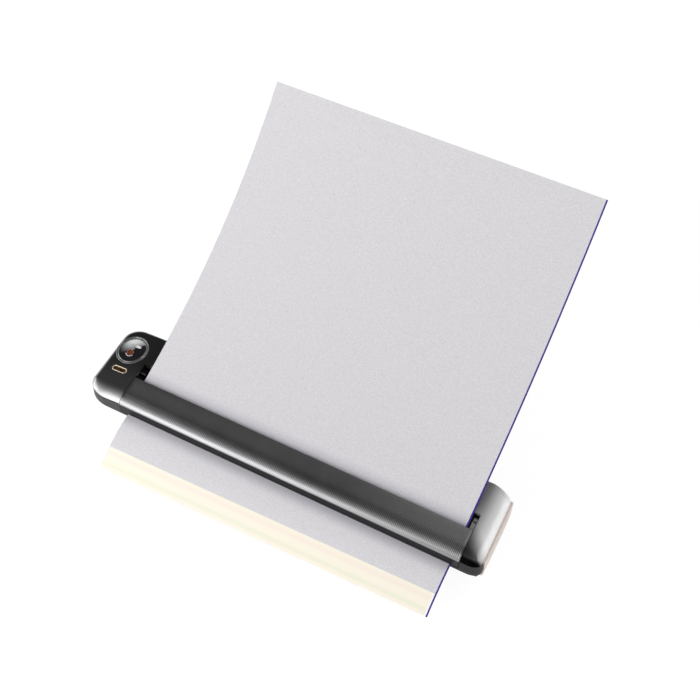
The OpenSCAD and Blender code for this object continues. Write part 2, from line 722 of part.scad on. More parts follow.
cap_low = 8;
cap_tip = 0.3;
module right_end_cap() {
    rise = cap_bulge - cap_tip;
    cap_r = (pow(cap_len / 2, 2) + pow(rise, 2)) / (2 * rise);
    inside = body_x1 - belly_in * end_share - 1;
    color([0.79, 0.71, 0.66]) difference() {
        intersection() {
            translate([body_x1 + cap_bulge - cap_r, 0, cap_low])
                cylinder(r = cap_r, h = edge_z - cap_low, $fn = 240);
            translate([inside, -cap_len / 2, 0]) cube([belly_in + cap_bulge, cap_len, body_h]);
            along_y(-cap_len / 2, cap_len / 2) polygon([[inside, 0], [inside, edge_z],
                [body_x1 + cap_bulge - 0.8, edge_z], [body_x1 + cap_bulge + 0.1, edge_z - 1.5],
                [body_x1 + cap_bulge + 0.1, girth_z - 2], [body_x1 + cap_bulge - 1.4, cap_low],
                [inside, cap_low]]);
        }
        belly(-0.02, bottom_z, edge_z + 1);
    }
}
module along_y(y0, y1) {
    translate([0, y1, 0]) rotate([90, 0, 0]) linear_extrude(y1 - y0) children();
}

// Drive pieces
bush_flange = 0.8;
module bush(x0, dir) {
    rotate_x = dir > 0 ? 0 : 180;
    color([0.8, 0.78, 0.7]) difference() {
        union() {
            rod(min(x0, x0 - dir * frame_t), max(x0, x0 - dir * frame_t), roller_at, bush_r);
            rod(min(x0, x0 + dir * bush_flange), max(x0, x0 + dir * bush_flange), roller_at, bush_r + 1);
        }
        rod(x0 - frame_t - 1, x0 + frame_t + 1, roller_at, shaft_r + run_gap);
    }
}
module left_bush() {
    bush(bay_x0, 1);
}
module right_bush() {
    bush(bay_x1, -1);
}

module platen_roller() {
    color([0.07, 0.07, 0.07]) difference() {
        rod(bay_mid - roller_len / 2, bay_mid + roller_len / 2, roller_at, roller_r);
        rod(bay_mid - roller_len / 2 - 1, bay_mid + roller_len / 2 + 1, roller_at, shaft_r);
    }
}

module roller_shaft() {
    color([0.7, 0.7, 0.72]) rod(bay_x0 - frame_t - 0.6, step_x + gear_w + 0.4, roller_at, shaft_r);
}

module roller_gear() {
    color([0.85, 0.85, 0.82]) difference() {
        along_x(step_x, step_x + gear_w) translate(roller_at)
            gear_2d(roller_teeth, bearing(roller_at, idler_at));
        rod(step_x - 1, step_x + gear_w + 1, roller_at, shaft_r);
    }
}

post_pin_r = 1.4;
module idler_post() {
    color([0.7, 0.7, 0.72]) union() {
        rod(bay_x1 + 0.8, step_x + gear_w + 0.3, idler_at, post_pin_r);
        rod(step_x + gear_w + 0.3, step_x + gear_w + 0.8, idler_at, post_pin_r + 0.8);
    }
}

module idler_gear() {
    color([0.9, 0.88, 0.8]) difference() {
        union() {
            along_x(gear_x, gear_x + gear_w) translate(idler_at)
                gear_2d(idler_large_teeth, bearing(idler_at, motor_at));
            along_x(gear_x + gear_w - 0.01, step_x + gear_w) translate(idler_at)
                gear_2d(idler_small_teeth, bearing(idler_at, roller_at) + 180 / idler_small_teeth);
        }
        rod(gear_x - 1, step_x + gear_w + 1, idler_at, post_pin_r + run_gap);
    }
}

motor_nose_r = 2.6;
motor_shaft_r = 1;
motor_shaft_in = 6;
module motor_body() {
    color([0.62, 0.62, 0.64]) difference() {
        union() {
            rod(bay_x1 - frame_gap - motor_len, bay_x1 - frame_gap, motor_at, motor_r);
            rod(bay_x1 - frame_gap - 0.1, bay_x1 + frame_t, motor_at, motor_nose_r);
        }
        rod(bay_x1 - motor_shaft_in, bay_x1 + frame_t + 1, motor_at, motor_shaft_r + run_gap);
    }
}

module motor_pinion() {
    color([0.8, 0.66, 0.3]) union() {
        rod(bay_x1 - motor_shaft_in + 0.5, gear_x + gear_w + 0.3, motor_at, motor_shaft_r);
        along_x(gear_x, gear_x + gear_w) translate(motor_at)
            gear_2d(pinion_teeth, bearing(motor_at, idler_at) + 180 / pinion_teeth);
    }
}

// The hinged cover
function shift_all(points, d) = [for (p = points) p + d];
function reverse(points) = [for (i = [len(points) - 1:-1:0]) points[i]];
module cover_section(in, drop) {
    polygon(concat([[cover_y - in, body_h - in - drop], [cover_y - in, body_h - in]], cover_line(in),
        [[front_y + in, cover_lip_z - 0.01], [cover_y - in, cover_lip_z - 0.01]]));
}
tab_left = 1.6;
tab_right = 4;
tab_drop = 0.6;

module arm(x0, x1, tab) {
    end_z = hinge_z - 2.3;
    difference() {
        union() {
            along_x(x0, x1) polygon([[cover_y - 3, body_h - cover_wall], [cover_y - 3, end_z],
                [hinge_y, end_z], [hinge_y, hinge_z + 0.6], [cover_y + tab, hinge_z + 0.6],
                [cover_y + tab, body_h - tab_drop], [cover_y - 1, body_h - tab_drop]]);
            rod(x0, x1, [hinge_y, hinge_z], knuckle_r);
        }
        rod(x0 - 1, x1 + 1, [hinge_y, hinge_z], pin_r + 0.01);
    }
}

module cover_end(x0, x1) {
    along_x(x0, x1) polygon(concat([[cover_y, body_h - 0.3], [cover_y - 0.3, body_h]], cover_line(0),
        [[front_y, cover_lip_z], [front_y + 4.5, cover_lip_z + 0.4],
         [roller_at[0] - 4, nip_at[1] + 1.6], [roller_at[0] + 5, nip_at[1] + 2.5],
         [cover_y, hinge_z - 1.5]]));
}

module cover_shell() {
    color([0.26, 0.26, 0.27]) union() {
        along_x(cover_x0, cover_x1) polygon(concat([[cover_y, body_h - cover_wall],
            [cover_y, body_h - 0.3], [cover_y - 0.3, body_h]], cover_line(0),
            [[front_y, cover_lip_z], [front_y + cover_wall, cover_lip_z]],
            reverse(cover_line(cover_wall))));
        cover_end(cover_x0, cover_x0 + 1.6);
        cover_end(cover_x1 - 1.6, cover_x1);
        arm(cover_x0, cover_x0 + left_arm, tab_left);
        arm(cover_x1 - right_arm, cover_x1, tab_right);
    }
}

module left_hinge_pin() {
    color([0.7, 0.7, 0.72]) rod(bay_x0 - frame_t, cover_x0 + left_arm - 0.4, [hinge_y, hinge_z], pin_r);
}
module right_hinge_pin() {
    color([0.7, 0.7, 0.72]) rod(cover_x1 - right_arm + 0.4, bay_x1 + frame_t, [hinge_y, hinge_z], pin_r);
}

// Beam inside the cover that guides the print head
carrier_end = 1.8;
beam_rear = cover_y - 1.2;
beam_front = nip_at[0] + 3;
screw_x = [for (i = [0:3]) bay_x0 + 25 + i * (bay_len - 50) / 3];
module head_carrier() {
    under = body_h - cover_wall - 0.02;
    color([0.16, 0.16, 0.17]) difference() {
        along_x(cover_x0 + left_arm + 0.3, cover_x1 - right_arm - 0.3) polygon([[beam_rear, under],
            [beam_front, under], [beam_front, under - 1.3], [beam_front + 2.4, under - 1.2],
            [beam_rear, under - 0.6]]);
        for (x = screw_x) translate([x, (beam_rear + beam_front) / 2, 0]) cylinder(r = 0.75, h = body_h);
    }
}

module carrier_screws() {
    under = body_h - cover_wall - 0.02;
    color([0.6, 0.6, 0.62]) for (x = screw_x) translate([x, (beam_rear + beam_front) / 2, under - 1.2])
        cylinder(r = 0.7, h = 1.15);
}

module at_nip() {
    translate([bay_mid, nip_at[0], nip_at[1]]) rotate([nip_slope, 0, 0]) children();
}
head_low = paper_t / 2 + gap_t;
substrate_y = -2.6;
module print_head() {
    color([0.85, 0.85, 0.82]) at_nip() union() {
        translate([-head_len / 2, substrate_y, head_low + 0.08])
            cube([head_len, substrate_w, substrate_t - 0.08]);
        translate([-paper_w / 2 + 1, -0.4, head_low]) cube([paper_w - 2, 0.8, 0.2]);
    }
}

sink_low = head_low + substrate_t;
module head_sink() {
    color([0.72, 0.73, 0.75]) at_nip()
        translate([-head_len / 2, substrate_y + substrate_w - sink_w, sink_low])
            cube([head_len, sink_w, sink_t]);
}

module head_board() {
    depth = sink_w - substrate_w - 0.2;
    color([0.1, 0.3, 0.15]) at_nip()
        translate([-head_len / 2 + 2, substrate_y + substrate_w - sink_w, sink_low - 0.5])
            cube([head_len - 4, depth, 0.5]);
}

// Coil springs between the heat sink and the cover
spring_base = sink_low + sink_t;
spring_free = 1.5;
turns = 3;
ring_steps = 10;
wire_sides = 5;
module coil(r, wire, height) {
    n = turns * ring_steps;
    rise = (height - wire) / n;
    points = [for (i = [0:n]) let (a = 360 * i / ring_steps) for (j = [0:wire_sides - 1])
        let (b = 360 * j / wire_sides) let (d = r - wire / 2 + wire / 2 * cos(b))
        [d * cos(a), d * sin(a), wire / 2 + rise * i + wire / 2 * sin(b)]];
    faces = concat([[for (j = [0:wire_sides - 1]) j]],
        [for (i = [0:n - 1]) for (j = [0:wire_sides - 1]) let (k = (j + 1) % wire_sides)
            [i * wire_sides + j, (i + 1) * wire_sides + j, (i + 1) * wire_sides + k, i * wire_sides + k]],
        [[for (j = [wire_sides - 1:-1:0]) n * wire_sides + j]]);
    polyhedron(points, faces, convexity = 6);
}
module head_springs() {
    color([0.7, 0.7, 0.7]) at_nip() for (i = [0:spring_n - 1])
        translate([-head_len / 2 + 12 + i * (head_len - 24) / (spring_n - 1), -3.6, spring_base + 0.02])
            coil(spring_r, spring_wire, spring_free);
}

// The sheet of thermal paper
module paper_sheet() {
    upper = shift_all(sheet_line, [0, paper_t / 2]);
    lower = reverse(shift_all(sheet_line, [0, -paper_t / 2]));
    left_end_y = front_point(sheet_front_left)[0];
    right_end_y = front_point(sheet_front_right)[0];
    skew = atan((right_end_y - left_end_y) / paper_w);
    far = paper_w / 2 + 6;
    color([0.86, 0.85, 0.87]) translate([paper_x, slot_at[0], 0]) difference() {
        translate([0, -slot_at[0], 0]) along_x(-far, far) polygon(concat(upper, lower));
        rotate(-sheet_yaw) for (side = [-1, 1]) translate([side * (paper_w / 2 + 10), 0, 0])
            cube([20, 800, 800], center = true);
        rotate(-sheet_yaw) translate([-paper_w / 2, left_end_y - slot_at[0], -10]) rotate(skew)
            translate([-10, -60, 0]) cube([paper_w + 40, 60, body_h + 20]);
        rotate(-sheet_yaw) translate([0, rear_point(sheet_rear)[0] + 50 - slot_at[0], 0])
            cube([paper_w + 40, 100, 800], center = true);
    }
}

lower_case();
left_top_cover();
right_top_cover();
paper_deck();
exit_guide();
left_end_frame();
right_end_frame();
right_end_cap();
rubber_feet();
case_screws();
dial_ring();
dial_lens();
display_panel();
display_board();
key_bezel();
power_key();
key_switch();
usb_board();
usb_socket();
main_board();
battery_cells();
motor_body();
motor_pinion();
idler_post();
idler_gear();
roller_gear();
roller_shaft();
platen_roller();
left_bush();
right_bush();
paper_sensor();
paper_sheet();
cover_shell();
head_carrier();
carrier_screws();
left_hinge_pin();
right_hinge_pin();
print_head();
head_sink();
head_board();
head_springs();
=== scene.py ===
"""Looks of the portable thermal printer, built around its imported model."""
import json
import math

import bmesh
import bpy
from mathutils import Matrix, Vector


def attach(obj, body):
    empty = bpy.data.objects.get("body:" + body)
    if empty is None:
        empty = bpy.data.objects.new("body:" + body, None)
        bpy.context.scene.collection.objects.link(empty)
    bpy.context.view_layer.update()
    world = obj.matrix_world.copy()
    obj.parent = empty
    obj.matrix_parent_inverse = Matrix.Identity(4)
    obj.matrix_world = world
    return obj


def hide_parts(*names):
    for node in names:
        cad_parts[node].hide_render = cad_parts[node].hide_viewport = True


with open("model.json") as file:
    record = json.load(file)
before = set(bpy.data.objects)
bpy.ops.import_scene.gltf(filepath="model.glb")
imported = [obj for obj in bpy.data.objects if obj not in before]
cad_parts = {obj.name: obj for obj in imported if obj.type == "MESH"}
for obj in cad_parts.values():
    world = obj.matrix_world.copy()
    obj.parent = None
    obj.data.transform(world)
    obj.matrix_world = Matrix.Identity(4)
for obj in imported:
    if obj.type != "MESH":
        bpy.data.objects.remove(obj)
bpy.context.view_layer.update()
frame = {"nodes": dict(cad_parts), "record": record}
scene = bpy.context.scene
nodes = frame["nodes"]
MM = 0.001

# Sizes in millimetres, as in the part's source
BODY_X0, BODY_X1 = -129.2, 128.3
BAY_X0, BAY_X1 = -103.8, 116.0
FRONT_Y, REAR_Y = -26.4, 26.4
BOTTOM_Z, EDGE_Z, GIRTH_Z, BODY_H = 1.5, 25.6, 17.0, 30.0
EDGE_IN = 1.0
WALL, TOP_WALL, COVER_WALL = 1.8, 1.6, 1.5
FLOOR_Z = BOTTOM_Z + WALL
BELLY_IN, END_SHARE = 9.0, 0.6
ROLL_R, ROLL_END = 11.0, math.radians(54)
SIDE_ROLL, REAR_ROLL = {-1: 3.2, 1: 6.5}, 2.6
LEFT_TILT, RIGHT_TILT = math.radians(5.3), math.radians(4)
SEAM = 0.3
COVER_X0, COVER_X1 = BAY_X0 + SEAM, BAY_X1 - SEAM
COVER_Y = FRONT_Y + 19.4
COVER_LIP_Z, MOUTH_GAP = 19.75, 1.2
NOTCH_Y = COVER_Y + 10
HINGE = (COVER_Y + 6.2, 26.3)
KNUCKLE_R, KNUCKLE_BORE_R = 2.6, 1.11
LEFT_ARM, RIGHT_ARM = 4.0, 2.4
TAB_LEFT, TAB_RIGHT, TAB_DROP = 1.6, 4.0, 0.6
ROLLER = (-14.5402, 19.7391)
NIP_Z = BODY_H - 6
ROLL_Y = FRONT_Y + EDGE_IN + ROLL_R * math.sin(ROLL_END)
DECK_Z = EDGE_Z + 1.7
DIAL = (BAY_X0 - 12.8, 8.95)
DIAL_R, LENS_R = 10.2, 8.4
KEY = (DIAL[0] + 0.8, -6.1)
KEY_LEN, KEY_W, KEY_RIM, KEY_LEDGE = 10.2, 3.8, 0.55, 0.1
KEY_HOLE_LEN = KEY_LEN - 2 * (KEY_RIM + KEY_LEDGE)
KEY_HOLE_W = KEY_W - 2 * (KEY_RIM + KEY_LEDGE)
KEY_GAP, KEY_FLANGE, KEY_SUNK = 0.12, 0.4, 0.4
STEM_R, STEM_LOW = 0.9, -2.45
RING_GAP, RING_SINK, WELL_GAP, WELL_DEPTH = 0.03, 1, 0.3, 6
CORNERS = {"left_front": (15, 10.5), "left_rear": (13, 10.5), "right_front": (8, 5), "right_rear": (15, 8.4)}
SCREWS = [(BAY_X0 - 15, -14), (BAY_X0 - 15, 16), (BAY_X0 + 63.5, 12),
          (BAY_X1 - 17.6, 12), (BAY_X1 + 3.4, 14.5)]
POST_R, POST_BORE_R, POST_Z, POST_BORE_Z, POST_OVER = 2.6, 1.15, 7, 16, 0.3
BOSS_R, BOSS_BORE_R = 3.2, 1.3
SCREW_SEAT_R, SCREW_SEAT_DEPTH = 2.2, 2.7
FEET = [(x, y) for x in (BAY_X0 + 4, BAY_X1 - 8) for y in (-10.5, 10.5)] + [(0, 0)]
FOOT_SEAT_R, FOOT_SEAT_DEPTH = 4.6, 0.6
INLET_W, INLET_H, INLET_Y, INLET_Z = 9.44, 3.7, 3, 15.4
STRIP_W, STRIP_WALL, STRIP_REAR_WALL, STRIP_LEDGE, SEAT_GAP = 5.5, 1.4, 2.6, 4, 0.1

# Rounding of edges, steps of the curves, and how far a shape or a cut reaches past a face
EDGE_ROUND = 0.12
CORNER_STEPS = 20
ROLL_STEPS = 22
PAST_SEAM = 20
PAST = 0.1


# The camera stands where the photograph was taken from
CAMERA_AT = (171.46, -237.07, 539.38)
CAMERA_RIGHT = (0.888138, 0.459133, -0.020191)
CAMERA_DOWN = (0.368981, -0.738563, -0.564249)
CAMERA_AHEAD = (-0.273977, 0.493681, -0.825357)
LENS = 52.44


def place_camera():
    """Camera of a pinhole fit to the photograph's sheet, cover and display."""
    data = bpy.data.cameras.new("camera")
    data.lens = LENS
    data.sensor_width = 36
    data.clip_start = 0.01
    data.clip_end = 50
    camera = bpy.data.objects.new("camera", data)
    scene.collection.objects.link(camera)
    right, down, ahead = Vector(CAMERA_RIGHT), Vector(CAMERA_DOWN), Vector(CAMERA_AHEAD)
    turn = Matrix((right, -down, -ahead)).transposed().to_4x4()
    camera.matrix_world = Matrix.Translation(Vector(CAMERA_AT) * MM) @ turn
    scene.camera = camera


place_camera()


# Mesh tools
def make_piece(name, points, faces):
    """Object from points in millimetres, with its faces turned outwards."""
    mesh = bpy.data.meshes.new(name)
    mesh.from_pydata([Vector(p) * MM for p in points], [], faces)
    piece = bpy.data.objects.new(name, mesh)
    scene.collection.objects.link(piece)
    shape = bmesh.new()
    shape.from_mesh(mesh)
    bmesh.ops.recalc_face_normals(shape, faces=shape.faces)
    shape.to_mesh(mesh)
    shape.free()
    return piece


def apply_modifiers(piece):
    bpy.context.view_layer.update()
    graph = bpy.context.evaluated_depsgraph_get()
    mesh = bpy.data.meshes.new_from_object(piece.evaluated_get(graph))
    old = piece.data
    piece.modifiers.clear()
    piece.data = mesh
    bpy.data.meshes.remove(old)


def combine(piece, tools, operation):
    """Cuts the tools out of the piece, or joins them to it, and throws the tools away."""
    for tool in tools:
        change = piece.modifiers.new(operation.lower(), "BOOLEAN")
        change.operation = operation
        change.solver = "EXACT"
        change.object = tool
        apply_modifiers(piece)
        old = tool.data
        bpy.data.objects.remove(tool)
        bpy.data.meshes.remove(old)


def add_loose(piece, others):
    """Puts further closed shapes into the piece's mesh as they are."""
    shape = bmesh.new()
    shape.from_mesh(piece.data)
    for other in others:
        shape.from_mesh(other.data)
        old = other.data
        bpy.data.objects.remove(other)
        bpy.data.meshes.remove(old)
    shape.to_mesh(piece.data)
    shape.free()


def smooth(piece, angle=32):
    piece.data.shade_smooth()
    piece.data.set_sharp_from_angle(angle=math.radians(angle))
    even = piece.modifiers.new("even", "WEIGHTED_NORMAL")
    even.keep_sharp = True
    even.weight = 100
    apply_modifiers(piece)


def round_edges(piece, width, angle=40, segments=2):
    bevel = piece.modifiers.new("round", "BEVEL")
    bevel.width = width * MM
    bevel.segments = segments
    bevel.limit_method = "ANGLE"
    bevel.angle_limit = math.radians(angle)
    bevel.miter_outer = "MITER_ARC"
    apply_modifiers(piece)


def band(k, n, count):
    """Faces between the rings k and n of a list of rings that have count points each."""
    steps = [(i, (i + 1) % count) for i in range(count)]
    return [(k * count + i, k * count + j, n * count + j, n * count + i) for i, j in steps]


def loft(name, rings):
    """Closed solid through a stack of rings that all have the same number of points."""
    count = len(rings[0])
    faces = [tuple(reversed(range(count)))]
    for k in range(len(rings) - 1):
        faces += band(k, k + 1, count)
    faces.append(tuple(range((len(rings) - 1) * count, len(rings) * count)))
    return make_piece(name, [p for ring in rings for p in ring], faces)


def prism(name, section, x0, x1):
    """A section of [y, z] points drawn out along X."""
    return loft(name, [[(x, y, z) for y, z in section] for x in (x0, x1)])


def circle(at, radius, sides):
    return [(at[0] + radius * math.cos(a), at[1] + radius * math.sin(a))
            for a in (2 * math.pi * i / sides for i in range(sides))]


def rod(name, x0, x1, at, radius, sides=48):
    return prism(name, circle(at, radius, sides), x0, x1)


def stack(name, line, heights):
    """Solid that has the same outline at each height."""
    return loft(name, [[(x, y, z) for x, y in line] for z in heights])


def upright(name, at, z0, z1, radius, sides=48):
    return stack(name, circle(at, radius, sides), (z0, z1))


def block(name, low, high):
    (x0, y0, z0), (x1, y1, z1) = low, high
    return prism(name, [(y0, z0), (y1, z0), (y1, z1), (y0, z1)], x0, x1)


def move(piece, matrix):
    piece.data.transform(matrix)
    return piece


def lathe(name, profile, sides=96):
    """A closed line of [radius, z] points turned about Z. A point on the axis closes the shape."""
    rings = [[(x, y, z) for x, y in circle((0, 0), r, sides)] for r, z in profile]
    count = len(profile)
    faces = []
    for k in range(count):
        n = (k + 1) % count
        if max(profile[k][0], profile[n][0]) > 1e-6:
            faces += band(k, n, sides)
    piece = make_piece(name, [point for ring in rings for point in ring], faces)
    shape = bmesh.new()
    shape.from_mesh(piece.data)
    bmesh.ops.remove_doubles(shape, verts=shape.verts, dist=1e-7)
    bmesh.ops.dissolve_degenerate(shape, edges=shape.edges, dist=1e-8)
    bmesh.ops.recalc_face_normals(shape, faces=shape.faces)
    shape.to_mesh(piece.data)
    shape.free()
    return piece


def pill_line(length, width, steps=16):
    """Outline of a pill that lies along X."""
    r = width / 2
    line = []
    for side in (1, -1):
        for i in range(steps + 1):
            a = math.pi * i / steps - math.pi / 2
            line.append((side * (length / 2 - r + r * math.cos(a)), side * r * math.sin(a)))
    return line


def settle(piece, body, replaced=()):
    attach(piece, body)
    if replaced:
        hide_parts(*replaced)


# Outlines of the body, seen from above
def arc(cx, cy, rx, ry, start):
    return [(cx + rx * math.cos(a), cy + ry * math.sin(a))
            for a in (math.radians(start + 90 * i / CORNER_STEPS) for i in range(CORNER_STEPS + 1))]


def shrink(name, dx, dy):
    """Half axes of a corner's arc, drawn in by dx and dy."""
    rx, ry = CORNERS[name]
    return max(rx - dx, 0.4), max(ry - dy, 0.4)


def body_outline(dx, dy):
    x0, x1, y0, y1 = BODY_X0 + dx, BODY_X1 - dx, FRONT_Y + dy, REAR_Y - dy
    lf, rf, rr, lr = (shrink(n, dx, dy) for n in ("left_front", "right_front", "right_rear", "left_rear"))
    return (arc(x0 + lf[0], y0 + lf[1], *lf, 180) + arc(x1 - rf[0], y0 + rf[1], *rf, 270)
            + arc(x1 - rr[0], y1 - rr[1], *rr, 0) + arc(x0 + lr[0], y1 - lr[1], *lr, 90))


def belly_draw(u):
    """How far the wall is drawn in below its girth, u from 0 at the girth to 1 at the bottom."""
    return BELLY_IN * (1 - math.sqrt(max(1 - u ** 1.6, 0)) * 0.35 - (1 - u) * 0.65)


def belly(name, inset, low, high):
    """Bowl of the lower case, inset from its outer wall."""
    steps, upper_steps = 22, 4
    rings = []
    for i in range(steps, -1, -1):
        u = 1 - (1 - i / steps) ** 1.5
        d = belly_draw(u)
        z = GIRTH_Z + (low - GIRTH_Z) * u
        rings.append([(x, y, z) for x, y in body_outline(inset + d * END_SHARE, inset + d)])
    for i in range(1, upper_steps + 1):
        z = GIRTH_Z + (high - GIRTH_Z) * i / upper_steps
        d = EDGE_IN * i / upper_steps
        rings.append([(x, y, z) for x, y in body_outline(inset + d, inset + d)])
    return loft(name, rings)


def roll_at(k):
    """Step k on the rolled edge of an end: its angle, its share inward and its share down from the top."""
    a = ROLL_END * (1 - k / ROLL_STEPS)
    return a, 1 - math.sin(a) / math.sin(ROLL_END), (1 - math.cos(a)) / (1 - math.cos(ROLL_END))


def end_ring(side, k, inset):
    """Outline of one end at step k of its roll. side is -1 for the left end and 1 for the right."""
    a, share, fall = roll_at(k)
    fy = FRONT_Y + EDGE_IN + inset + ROLL_R * (math.sin(ROLL_END) - math.sin(a))
    ry = REAR_Y - EDGE_IN - inset - REAR_ROLL * share
    out = EDGE_IN + inset + SIDE_ROLL[side] * share
    if side < 0:
        front, rear = shrink("left_front", out, fy - FRONT_Y), shrink("left_rear", out, REAR_Y - ry)
        x0 = BODY_X0 + out
        x1 = BAY_X0 + PAST_SEAM
        line = (arc(x0 + front[0], fy + front[1], *front, 180) + [(x1, fy), (x1, ry)]
                + arc(x0 + rear[0], ry - rear[1], *rear, 90))
    else:
        front, rear = shrink("right_front", out, fy - FRONT_Y), shrink("right_rear", out, REAR_Y - ry)
        x0 = BAY_X1 - PAST_SEAM
        x1 = BODY_X1 - out
        line = ([(x0, fy)] + arc(x1 - front[0], fy + front[1], *front, 270)
                + arc(x1 - rear[0], ry - rear[1], *rear, 0) + [(x0, ry)])
    return [(x, y, EDGE_Z + (end_top(side, x) - inset - EDGE_Z) * (1 - fall)) for x, y in line]


def end_top(side, x):
    if side < 0:
        return BODY_H - (BAY_X0 - x) * math.tan(LEFT_TILT)
    return BODY_H - (x - BAY_X1) * math.tan(RIGHT_TILT)


def end_dome(name, side, inset, low):
    rings = [end_ring(side, k, inset) for k in range(ROLL_STEPS + 1)]
    return loft(name, [[(x, y, low) for x, y, z in rings[0]]] + rings)


def end_cover(name, side):
    """Rolled top of one end, with the strip that reaches in behind the hinge."""
    piece = end_dome(name, side, 0, EDGE_Z)
    combine(piece, [end_dome("inside", side, TOP_WALL, EDGE_Z - 1)], "DIFFERENCE")
    bay_x = BAY_X0 if side < 0 else BAY_X1
    reach = 40
    x0, x1 = sorted((bay_x, bay_x + side * reach))
    combine(piece, [block("keep", (x0, -reach, EDGE_Z - 5), (x1, reach, BODY_H + 5))], "INTERSECT")
    rear = REAR_Y - EDGE_IN
    rim = []
    for k in range(ROLL_STEPS + 1):
        a, share, fall = roll_at(k)
        rim.append((rear - REAR_ROLL * share, EDGE_Z + (BODY_H - EDGE_Z) * (1 - fall)))
    low = DECK_Z + SEAT_GAP
    ledge = rear - STRIP_LEDGE
    section = rim + [(NOTCH_Y, BODY_H), (NOTCH_Y, low), (ledge, low), (ledge, EDGE_Z)]
    x0, x1 = sorted((bay_x, bay_x - side * STRIP_W))
    strip = prism("strip", section, x0, x1)
    open_end = 2
    inner_x0, inner_x1 = (x0 - open_end, x1 - STRIP_WALL) if side < 0 else (x0 + STRIP_WALL, x1 + open_end)
    hollow = block("hollow", (inner_x0, NOTCH_Y + STRIP_WALL, DECK_Z - 1),
                   (inner_x1, rear - STRIP_REAR_WALL, BODY_H - TOP_WALL))
    combine(strip, [hollow], "DIFFERENCE")
    combine(piece, [strip], "UNION")
    return piece


def turn_to_left_top(x, y):
    """Puts a piece made flat at the origin onto the tilted top of the left end."""
    at = Vector((x, y, end_top(-1, x))) * MM
    return Matrix.Translation(at) @ Matrix.Rotation(-LEFT_TILT, 4, "Y")


def screw_post(at, top):
    post = upright("post", at, POST_Z, top, POST_R)
    combine(post, [upright("hole", at, POST_Z - PAST, POST_BORE_Z, POST_BORE_R)], "DIFFERENCE")
    return post


# Outer shells
def build_left_end():
    piece = end_cover("left_end_shell", -1)
    seat = turn_to_left_top(*DIAL)
    high = 4
    cuts = [upright("seat", (0, 0), -RING_SINK, high, DIAL_R + RING_GAP, 96),
            upright("well", (0, 0), -WELL_DEPTH, high, LENS_R + WELL_GAP, 96)]
    combine(piece, [move(cut, seat) for cut in cuts], "DIFFERENCE")
    seat = turn_to_left_top(*KEY)
    for length, width, low in ((KEY_LEN + 2 * RING_GAP, KEY_W + 2 * RING_GAP, -RING_SINK),
                               (KEY_HOLE_LEN, KEY_HOLE_W, -WELL_DEPTH)):
        tool = stack("key_hole", pill_line(length, width), (low, high))
        combine(piece, [move(tool, seat)], "DIFFERENCE")
    round_edges(piece, EDGE_ROUND)
    smooth(piece)
    add_loose(piece, [screw_post(at, end_top(-1, at[0]) - TOP_WALL + POST_OVER) for at in SCREWS[:2]])
    settle(piece, "base", ["left_top_cover"])
    return piece


def build_right_end():
    piece = end_cover("right_end_shell", 1)
    round_edges(piece, EDGE_ROUND)
    smooth(piece)
    add_loose(piece, [screw_post(at, end_top(1, at[0]) - TOP_WALL + POST_OVER) for at in SCREWS[4:]])
    settle(piece, "base", ["right_top_cover"])
    return piece


def build_lower_case():
    piece = belly("lower_body", 0, BOTTOM_Z, EDGE_Z)
    mouth = block("mouth", (BAY_X0, FRONT_Y - 1, COVER_LIP_Z - MOUTH_GAP), (BAY_X1, 0, BODY_H + 5))
    combine(piece, [belly("inside", WALL, FLOOR_Z, EDGE_Z + PAST), mouth], "DIFFERENCE")
    low = BOTTOM_Z - PAST
    for at in FEET:
        combine(piece, [upright("foot_seat", at, low, BOTTOM_Z + FOOT_SEAT_DEPTH, FOOT_SEAT_R)], "DIFFERENCE")
    line = pill_line(INLET_W, INLET_H)
    ends = (BODY_X0 - 1, BODY_X0 + 11)
    inlet = loft("inlet", [[(x, INLET_Y + u, INLET_Z + v) for u, v in line] for x in ends])
    combine(piece, [inlet], "DIFFERENCE")
    bosses = []
    for at in SCREWS:
        combine(piece, [upright("screw_seat", at, low, POST_Z + 1, SCREW_SEAT_R)], "DIFFERENCE")
        boss = upright("boss", at, BOTTOM_Z, POST_Z, BOSS_R)
        combine(boss, [upright("seat", at, low, BOTTOM_Z + SCREW_SEAT_DEPTH, SCREW_SEAT_R),
                       upright("hole", at, low, POST_Z + 1, BOSS_BORE_R)], "DIFFERENCE")
        bosses.append(boss)
    round_edges(piece, 0.1, 50)
    smooth(piece)
    add_loose(piece, bosses)
    settle(piece, "base", ["lower_case"])
    return piece


# The cap on the right end wall
CAP_HALF, CAP_BULGE, CAP_TIP = 20.0, 0.9, 0.3
CAP_LOW, CAP_HIGH = 8.0, EDGE_Z
CAP_GAP, CAP_LEAST = 0.03, 0.05
CAP_LEAN_LOW, CAP_LEAN_HIGH = -1.4, -0.8


def wall_line(z):
    """Outline of the lower case at height z."""
    if z >= GIRTH_Z:
        d = EDGE_IN * (z - GIRTH_Z) / (EDGE_Z - GIRTH_Z)
        return body_outline(d, d)
    d = belly_draw((GIRTH_Z - z) / (GIRTH_Z - BOTTOM_Z))
    return body_outline(d * END_SHARE, d)


def right_wall_x(line, y):
    """Where an outline of the body has its right wall at depth y."""
    for (xa, ya), (xb, yb) in zip(line, line[1:]):
        if xa > 0 and ya <= y <= yb and yb > ya:
            return xa + (xb - xa) * (y - ya) / (yb - ya)
    return max(point[0] for point in line)


def cap_lean(z):
    """How far the cap's face leans in towards its lower and its upper edge."""
    low_end, high_start = GIRTH_Z - 2, EDGE_Z - 1.5
    if z <= low_end:
        return CAP_LEAN_LOW * (1 - math.sin((z - CAP_LOW) / (low_end - CAP_LOW) * math.pi / 2))
    if z <= high_start:
        return 0.0
    return CAP_LEAN_HIGH * ((z - high_start) / (CAP_HIGH - high_start)) ** 2


